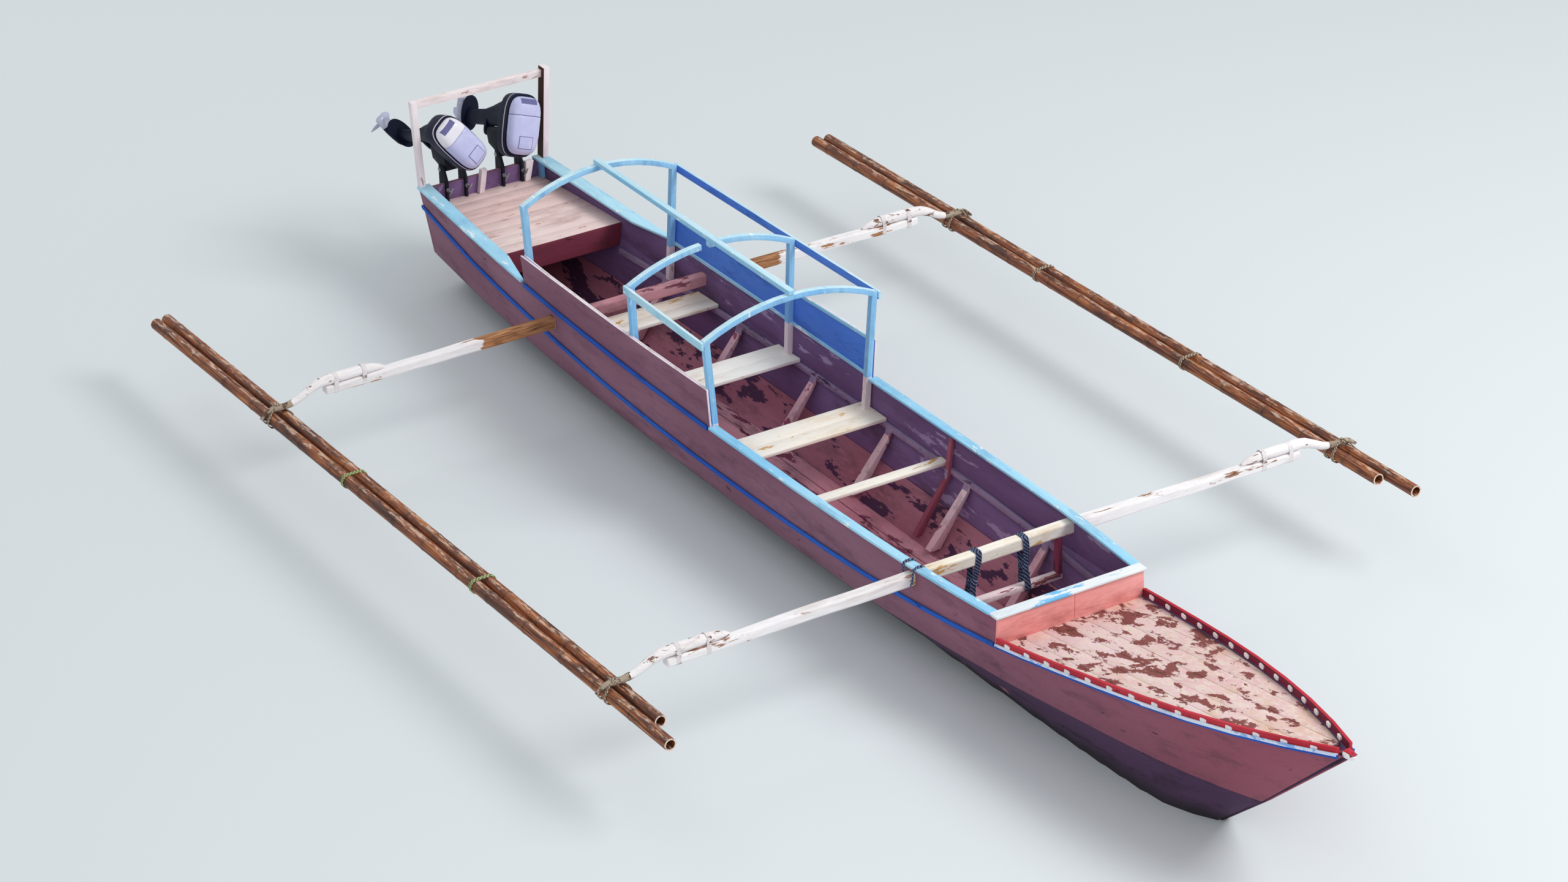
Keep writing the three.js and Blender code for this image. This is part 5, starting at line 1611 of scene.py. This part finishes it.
    def pole(self, name: str, start: Vector, end: Vector, radius: float, rng: random.Random) -> Piece:
        """Makes one bamboo pole with swollen joints and hollow ends.

        Args:
            name: The pole's name.
            start: Middle of its aft end.
            end: Middle of its fore end.
            radius: Its radius.
            rng: Source of the joints' spacing.

        Returns:
            The pole, with a joint attribute that is one at each ring.
        """
        knots = []
        x = start.x + 0.22
        while x < end.x - 0.12:
            knots.append(x)
            x += rng.uniform(*self.knot_step)
        # Columns: distance from the knot, share of the radius
        ring = ((-0.05, 0.955), (-0.016, 0.965), (-0.006, 1.0), (0.0, 0.965), (0.006, 1.0), (0.016, 0.965),
                (0.05, 0.955))
        profile = [(start.x, 0.965)]
        for knot in knots:
            profile += [(knot + off, share) for off, share in ring]
        profile.append((end.x, 0.965))
        route = [start.lerp(end, (x - start.x) / (end.x - start.x)) for x, _ in profile]
        made = Bench.tube(name, route, radius, 20, [share for _, share in profile])
        for tip, inward in ((start, self.bore_depth), (end, -self.bore_depth)):
            self.hollow(made, tip.x, inward)
        Bench.settle(made, 50)
        dark = made.data.attributes.new("joint", "FLOAT", "POINT")
        for i, vertex in enumerate(made.data.vertices):
            near = min(abs(vertex.co.x - knot) for knot in knots)
            dark.data[i].value = max(0.0, 1 - near / 0.02)
        return made

    def hollow(self, pole: Piece, x: float, inward: float) -> None:
        """Bores the end of a pole.

        Args:
            pole: The pole.
            x: Where it ends.
            inward: How far the bore goes in, with its sign.
        """
        Bench.edit(pole)
        mesh = bmesh.from_edit_mesh(pole.data)
        for face in mesh.faces:
            face.select_set(abs(face.normal.x) > 0.9 and abs(face.calc_center_median().x - x) < 1 * MM)
        bmesh.update_edit_mesh(pole.data)
        bpy.ops.mesh.inset(thickness=self.cane_wall)
        bpy.ops.mesh.extrude_region_move(TRANSFORM_OT_translate={"value": (inward, 0, 0)})
        Bench.close()


@dataclass
class Stern:
    """Stern deck and the post frame over the motors."""

    deck_boards: int = 8
    deck_seam: float = 4 * MM
    deck_thick: float = 0.028
    # Inner face of the transom, and the deck's top
    transom_x: float = -5.688
    deck_z: float = 0.782
    upright_thick: float = 0.05

    def build(self) -> None:
        """Makes the stern's pieces."""
        low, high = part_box("stern_deck")
        edges = even_edges(low.x, high.x, self.deck_boards)
        deck = Bench.planks(Bench.soften("stern_deck", 4 * MM), 0, edges, self.deck_seam)
        Bench.paint(deck, STERN_DECK, (DECK_EDGE, lambda c, n: (
            c.z < high.z - self.deck_thick or (n.x > 0.5 and c.x > high.x - 0.03))))
        keep(deck, replaces=("stern_deck",))
        # The port post's face that looks to starboard is dark brown: its brown with painted shade
        stand_in("stern_posts", 5 * MM, "pink_white_paint", PINK_WHITE,
                 (BAR_WHITE, lambda c, n: abs(c.y) < 0.55),
                 (POST_BROWN_SHADED, lambda c, n: c.y > 0.5 and n.y < -0.5), segments=3)
        self.uprights()
        knee = Bench.box("post_knee_port", (self.transom_x, 0.512, self.deck_z),
                         (self.transom_x + 0.07, 0.540, 0.905))
        keep(Bench.paint(knee, SKY_POST))

    def uprights(self) -> None:
        """Makes the upright boards inside the transom."""
        x0, x1 = self.transom_x, self.transom_x + self.upright_thick
        pieces = []
        # Columns: y at the foot, y at the top, half width at the foot, half width at the top, top
        for foot, head, half0, half1, top in ((-0.045, -0.012, 0.024, 0.026, 0.985),
                                              (0.388, 0.412, 0.024, 0.036, 0.955)):
            rings = []
            for y, half, z in ((foot, half0, self.deck_z), (head, half1, top)):
                corners = ((x0, y - half), (x0, y + half), (x1, y + half), (x1, y - half))
                rings.append([Vector((*corner, z)) for corner in corners])
            pieces.append(Bench.draw_out(f"upright_{head}", rings, 5 * MM, 50))
        keep(Bench.paint(Bench.join("transom_uprights", pieces), PINK_WHITE))


@dataclass(frozen=True)
class MotorTrim:
    """What differs between the two motors."""

    # Degrees that it leans over as parked
    lean: float
    # Foot and top of the light stripe round the lower cowl
    stripe: tuple[float, float]
    # Width of the cover, against the wider one
    cover_share: float
    # Height over the propeller's middle below which the leg has lost its dark paint
    pale_below: float
    # Whether the after part of the cover is paler
    pale_aft: bool


MOTOR_TRIMS = {
    "port": MotorTrim(19.0, (0.262, 0.276), 1.0, 0.06, False),
    "stbd": MotorTrim(-37.0, (0.316, 0.331), 0.92, -0.06, True),
}


@dataclass
class Motor:
    """One outboard motor, modelled upright in its own frame and tilted up on its bracket.

    The frame's origin is on the tilt axis, its leg points down and +X is forward.
    """

    side: str
    tilt_place: tuple[float, float, float] = (-5.748, 0.262, 1.040)
    tilt: float = 72.0
    steer_x: float = -0.170
    leg_x: float = -0.270
    prop_z: float = -0.800
    prop_x: float = -0.3905
    screw_z: float = 0.885
    screw_y: float = 0.088
    cover_seam: float = -0.310
    # How square the cover is seen from above, between two for an ellipse and a box
    cover_power: float = 3.6

    def __post_init__(self) -> None:
        """Works out where the motor's frames are on the boat."""
        self.trim = MOTOR_TRIMS[self.side]
        self.body = f"motor_{self.side}_body"
        x, y, z = self.tilt_place
        self.mount = Matrix.Translation((x, y * SIDES[self.side], z))
        tilted = self.mount @ Matrix.Rotation(math.radians(self.tilt), 4, "Y")
        turn = Matrix.Rotation(math.radians(-self.trim.lean), 4, "Z")
        out, back = (Matrix.Translation((x, 0, 0)) for x in (self.steer_x, -self.steer_x))
        self.steered = tilted @ out @ turn @ back

    def build(self) -> None:
        """Makes the motor's pieces."""
        self.bracket()
        self.swivel()
        self.leg()
        self.cowl()
        self.propeller()

    @staticmethod
    def turned(name: str, rows: list[tuple], power: float, width: float, angle: float = 50) -> Piece:
        """Draws a casting out of level ovals.

        Args:
            name: The casting's name.
            rows: Height, middle x, half length and half width of each oval.
            power: Two for an ellipse, more for a rounder rectangle.
            width: Width of the rounding of its sharp edges.
            angle: Edges sharper than this are rounded and stay sharp, in degrees.

        Returns:
            The casting.
        """
        rings = [oval((x, 0, z), X_AXIS, Y_AXIS, a, b, power, 28) for z, x, a, b in rows]
        return Bench.draw_out(name, rings, width, angle)

    def casting(self, kind: str, body: str) -> None:
        """Makes one bracket.

        Args:
            kind: Clamp or swivel.
            body: The body that it rides on.
        """
        node = f"{kind}_{self.side}"
        made = Bench.paint(Bench.soften(node, 2.5 * MM, stuff="casting"), BRACKET)
        keep(made, body, (node,))

    def bracket(self) -> None:
        """Makes the clamp on the transom with its two screws."""
        self.casting("clamp", "root")
        low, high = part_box(f"clamp_{self.side}")
        pieces = []
        for off in (-self.screw_y, self.screw_y):
            middle = Vector((high.x, (low.y + high.y) / 2 + off, self.screw_z))
            # Columns: name, start and end from the bracket's fore face, radius, faces, rounding
            for name, start, end, radius, sides, width in (
                ("screw", (-0.006, 0, 0), (0.062, 0, 0), 9 * MM, 12, 1 * MM),
                ("boss", (-0.004, 0, 0), (0.012, 0, 0), 17 * MM, 16, 3 * MM),
                ("handle", (0.056, -0.02, -0.03), (0.056, 0.02, 0.03), 6 * MM, 10, 2 * MM),
            ):
                start, end = middle + Vector(start), middle + Vector(end)
                pieces.append(Bench.rod(f"{name}_{self.side}", start, end, radius, sides, width))
        keep(Bench.paint(Bench.join(f"clamp_screws_{self.side}", pieces), STEEL))

    def swivel(self) -> None:
        """Makes the swivel bracket and the nuts on the ends of the tilt tube."""
        self.casting("swivel", f"swivel_{self.side}_body")
        pieces = [Bench.rod(f"nut_{self.side}", (0, way * 0.098, 0), (0, way * 0.114, 0), 21 * MM, 6, 2 * MM)
                  for way in (-1, 1)]
        nuts = Bench.place(Bench.join(f"tilt_nuts_{self.side}", pieces), self.mount)
        keep(Bench.paint(nuts, STEEL))

    def leg(self) -> None:
        """Makes the engine pan, housing, yokes, plate, gearcase and skeg."""
        x, z = self.leg_x, self.prop_z
        # Columns here and below: height, middle x, half length, half width
        housing = [(0.160, -0.235, 0.225, 0.124), (0.128, -0.235, 0.224, 0.123),
                   (0.104, -0.238, 0.212, 0.112), (0.096, -0.283, 0.172, 0.088),
                   (0.060, -0.324, 0.120, 0.060), (-0.060, -0.310, 0.105, 0.048),
                   (-0.200, -0.291, 0.085, 0.040), (-0.340, -0.277, 0.068, 0.036),
                   (-0.600, -0.272, 0.062, 0.034), (-0.640, -0.274, 0.080, 0.040)]
        pieces = [self.turned("housing", housing, 2.2, 3 * MM, 60)]
        for top in (0.0923, -0.2443):
            yoke = [(height, -0.208, 0.080, 0.044) for height in (top, top - 0.036)]
            pieces.append(self.turned("yoke", yoke, 3.2, 5 * MM))
        plate = [(z + 0.160, x - 0.030, 0.148, 0.078), (z + 0.150, x - 0.030, 0.150, 0.080)]
        pieces.append(self.turned("plate", plate, 2.3, 3 * MM))
        strut = [(z + 0.152, x + 0.002, 0.070, 0.030), (z + 0.09, x, 0.066, 0.022),
                 (z + 0.02, x + 0.004, 0.082, 0.026)]
        pieces.append(self.turned("strut", strut, 2.0, 0, 60))
        # Columns: distance aft of the leg, radius
        nose = [oval((x - back, 0, z), Y_AXIS, Z_AXIS, radius, radius) for back, radius in (
            (-0.130, 0.006), (-0.124, 0.016), (-0.112, 0.026), (-0.086, 0.037), (-0.060, 0.044),
            (0.0, 0.0475), (0.060, 0.0475), (0.120, 0.044))]
        pieces += [Bench.draw_out("gearcase", nose, 2 * MM, 50), self.skeg()]
        made = Bench.join(f"leg_{self.side}_castings", pieces)
        Bench.paint(made, ENAMEL, (PALE_METAL, lambda c, n: c.z < z + self.trim.pale_below))
        keep(Bench.place(made, self.steered), self.body, (f"motor_leg_{self.side}",))

    def skeg(self, swell: float = 1.4) -> Piece:
        """Makes the fin under the gearcase.

        Args:
            swell: Thickness in its middle, against that at its edges.

        Returns:
            The fin.
        """
        rings = []
        # Columns: fore end, aft end, half thickness, height, from the leg and the propeller's middle
        for fore, aft, half, up in ((0.06, -0.066, 0.007, -0.035), (0.015, -0.068, 0.006, -0.09),
                                    (-0.02, -0.069, 0.004, -0.149)):
            x0, x1, z = self.leg_x + fore, self.leg_x + aft, self.prop_z + up
            middle, thick = (x0 + x1) / 2, half * swell
            rings.append([Vector((x, y, z)) for x, y in ((x0, -half), (middle, -thick), (x1, -half),
                                                         (x1, half), (middle, thick), (x0, half))])
        return Bench.draw_out("skeg", rings, 2 * MM, 30)

    def cowl(self) -> None:
        """Makes the dark lower cowl with its stripe, and the pale cover above it."""
        # Columns: height, middle x, half length, half width
        dark = [(0.161, -0.230, 0.252, 0.132), (0.168, -0.228, 0.260, 0.139), (0.215, -0.227, 0.263, 0.142),
                (0.262, -0.227, 0.263, 0.142), (0.276, -0.227, 0.263, 0.142), (0.316, -0.229, 0.259, 0.141),
                (0.330, -0.230, 0.255, 0.139), (0.336, -0.231, 0.248, 0.133)]
        lower = self.turned(f"cowl_lower_{self.side}", dark, 3.3, 0, 40)
        foot, top = self.trim.stripe
        Bench.paint(lower, COVER_DARK, (STRIPE, lambda c, n: foot < c.z < top))
        keep(Bench.place(lower, self.steered), self.body, (f"cowl_{self.side}",))
        pale = [(0.337, -0.2265, 0.232, 0.132), (0.342, -0.2265, 0.238, 0.138),
                (0.356, -0.227, 0.237, 0.1375), (0.382, -0.229, 0.230, 0.133),
                (0.404, -0.232, 0.216, 0.123), (0.419, -0.236, 0.196, 0.107),
                (0.427, -0.241, 0.168, 0.086), (0.430, -0.246, 0.130, 0.060)]
        rows = [(z, x, a, b * self.trim.cover_share) for z, x, a, b in pale]
        cover = self.turned(f"cowl_cover_{self.side}", rows, self.cover_power, 0, 40)
        cover = Bench.planks(cover, 0, [-0.5, self.cover_seam, 0.05], 4 * MM)
        pale_aft = [(COVER_PALE, lambda c, n: c.x < self.cover_seam)] if self.trim.pale_aft else []
        Bench.paint(cover, COVER, *pale_aft)
        keep(Bench.place(cover, self.steered), self.body)
        # The second plate is the dark rim round the catch: its seam, with painted shadow along the edge
        # Columns: aft end, fore end, half width, how far it stands out, finish
        plates = [Bench.paint(self.plate(rows, aft, fore, half, proud), finish)
                  for aft, fore, half, proud, finish in ((-0.448, -0.406, 0.070, 3.6 * MM, COVER_SHADE),
                                                         (-0.140, -0.036, 0.062, 2.4 * MM, COVER_SHADE),
                                                         (-0.135, -0.041, 0.057, 3.8 * MM, COVER))]
        catches = Bench.place(Bench.join(f"cowl_catch_{self.side}", plates), self.steered)
        keep(catches, self.body)

    def plate(self, rows: list[tuple], aft: float, fore: float, half: float, proud: float,
              sunk: float = 6 * MM, steps: int = 10) -> Piece:
        """Makes a thin plate that follows the crown of the cover.

        Args:
            rows: The cover's rows of height, middle x, half length and half width.
            aft: Its aft end.
            fore: Its fore end.
            half: Half its width.
            proud: How far it stands out of the cover.
            sunk: How far it goes into the cover.
            steps: Steps along and across it.

        Returns:
            The plate.
        """
        rings = []
        for i in range(steps + 1):
            x = aft + (fore - aft) * i / steps
            upper = []
            for j in range(steps + 1):
                y = half * (2 * j / steps - 1)
                upper.append(Vector((x, y, self.crown_at(rows, x, y) + proud)))
            rings.append(upper + [point - Z_AXIS * (proud + sunk) for point in reversed(upper)])
        return Bench.draw_out("plate", rings, 0, 40)

    def crown_at(self, rows: list[tuple], x: float, y: float) -> float:
        """Finds the height of the cover over a place.

        Args:
            rows: The cover's rows of height, middle x, half length and half width.
            x: The place's x.
            y: The place's y.

        Returns:
            The height.
        """
        power = self.cover_power
        reaches = [(z, (abs(x - cx) / a) ** power + (abs(y) / b) ** power) for z, cx, a, b in rows[1:]]
        height = rows[-1][0]
        for (z0, r0), (z1, r1) in zip(reaches, reaches[1:]):
            if r0 <= 1 < r1:
                height = z0 + (z1 - z0) * (1 - r0) / (r1 - r0)
        return height

    def propeller(self, blades: int = 3) -> None:
        """Makes the hub and its twisted blades.

        Args:
            blades: Number of blades.
        """
        # Columns: distance aft of the gearcase, radius
        profile = ((0.0, 0.0425), (0.004, 0.044), (0.030, 0.043), (0.084, 0.037), (0.091, 0.034))
        hub = [oval((self.prop_x - back, 0, self.prop_z), Y_AXIS, Z_AXIS, radius, radius)
               for back, radius in profile]
        pieces = [Bench.draw_out("hub", hub, 0, 50)]
        pieces += [self.blade(2 * math.pi * i / blades) for i in range(blades)]
        made = Bench.join(f"propeller_{self.side}_cast", pieces)
        Bench.place(Bench.paint(made, PALE_METAL), self.steered)
        keep(made, f"prop_{self.side}_body", (f"propeller_{self.side}",))

    def blade(self, angle: float) -> Piece:
        """Makes one blade.

        Args:
            angle: Its angle round the shaft, in radians.

        Returns:
            The blade.
        """
        middle = Vector((self.prop_x - 0.046, 0, self.prop_z))
        out = Vector((0, math.sin(angle), math.cos(angle)))
        tangent = out.cross(X_AXIS)
        rings = []
        # Columns: radius, chord, pitch angle, thickness, skew
        rows = ((0.036, 0.052, 56, 0.009, 0.0), (0.058, 0.072, 48, 0.008, 0.002),
                (0.082, 0.084, 40, 0.006, 0.005), (0.104, 0.074, 34, 0.005, 0.009),
                (0.120, 0.046, 30, 0.004, 0.012), (0.127, 0.018, 28, 0.003, 0.013))
        for radius, chord, pitch, thick, skew in rows:
            lean = math.radians(pitch)
            chordwise = tangent * math.cos(lean) - X_AXIS * math.sin(lean)
            normal = -X_AXIS * math.cos(lean) - tangent * math.sin(lean)
            rings.append(oval(middle + out * radius + tangent * skew, chordwise, normal, chord / 2, thick / 2,
                              count=12))
        return Bench.draw_out("blade", rings, 0, 60)


@dataclass
class Studio:
    """Floor at the waterline, soft light and the camera at the photograph's viewing angle."""

    # The photograph's viewpoint, from the hull's symmetry, and its line of sight to the boat
    viewpoint: tuple[float, float, float] = (25.506, -16.418, 16.870)
    sight: tuple[float, float, float] = (-0.75329, 0.46513, -0.46499)
    roll: float = -1.144
    lens: float = 108.0
    sensor: float = 36.0
    see_to: float = 500.0
    floor_size: float = 240.0
    floor_roughness: float = 0.85
    air_strength: float = 0.62
    lamps_aim: tuple[float, float, float] = (0, 0, 0.4)

    def build(self) -> None:
        """Makes the camera, the floor and the lights."""
        self.camera()
        self.floor()
        self.lights()

    def camera(self) -> None:
        """Sets the camera on the photograph's line of sight."""
        bpy.ops.object.camera_add()
        camera = Bench.added("photo_camera")
        forward = Vector(self.sight).normalized()
        right = forward.cross(Z_AXIS).normalized()
        axes = Matrix((right, right.cross(forward), -forward)).transposed().to_4x4()
        turn = Matrix.Rotation(math.radians(self.roll), 4, "Z")
        camera.matrix_world = Matrix.Translation(self.viewpoint) @ axes @ turn
        camera.data.lens = self.lens
        camera.data.sensor_width = self.sensor
        camera.data.clip_end = self.see_to
        bpy.context.scene.camera = camera

    def floor(self) -> None:
        """Lays the plain pale floor at the waterline."""
        bpy.ops.mesh.primitive_plane_add(size=self.floor_size)
        floor = Bench.added("studio_floor")
        made, tree, shader = fresh_material("pale_floor")
        plug(tree, shader, {"Base Color": linear("#dfe4e6"), "Roughness": self.floor_roughness})
        floor.data.materials.append(made)

    def lights(self) -> None:
        """Hangs a broad key light, a fill and an even surround."""
        world = bpy.data.worlds.new("studio_air")
        bpy.context.scene.world = world
        world.use_nodes = True
        plug(world.node_tree, world.node_tree.nodes["Background"],
             {"Color": linear("#e8eef2"), "Strength": self.air_strength})
        # Columns: name, place, size, watts
        for name, place, size, watts in (("key", (13, 12, 20), 12, 4000), ("fill", (18, -14, 12), 16, 800),
                                         ("stern", (-18, -4, 14), 12, 600)):
            bpy.ops.object.light_add(type="AREA", location=place)
            lamp = Bench.added(f"{name}_light")
            lamp.data.size = size
            lamp.data.energy = watts
            aim = Vector(self.lamps_aim) - Vector(place)
            lamp.rotation_euler = aim.to_track_quat("-Z", "Y").to_euler()


def main() -> None:
    """Builds the canoe and its studio."""
    logging.basicConfig(level=logging.INFO, format="%(message)s")
    bpy.context.scene.view_settings.view_transform = "Standard"
    Studio().build()
    for part in (Hull(), Foredeck(), Caps(), Cabin(), Inside(), Outriggers(), Stern(),
                 *(Motor(side) for side in SIDES)):
        part.build()


if __name__ == "__main__":
    main()
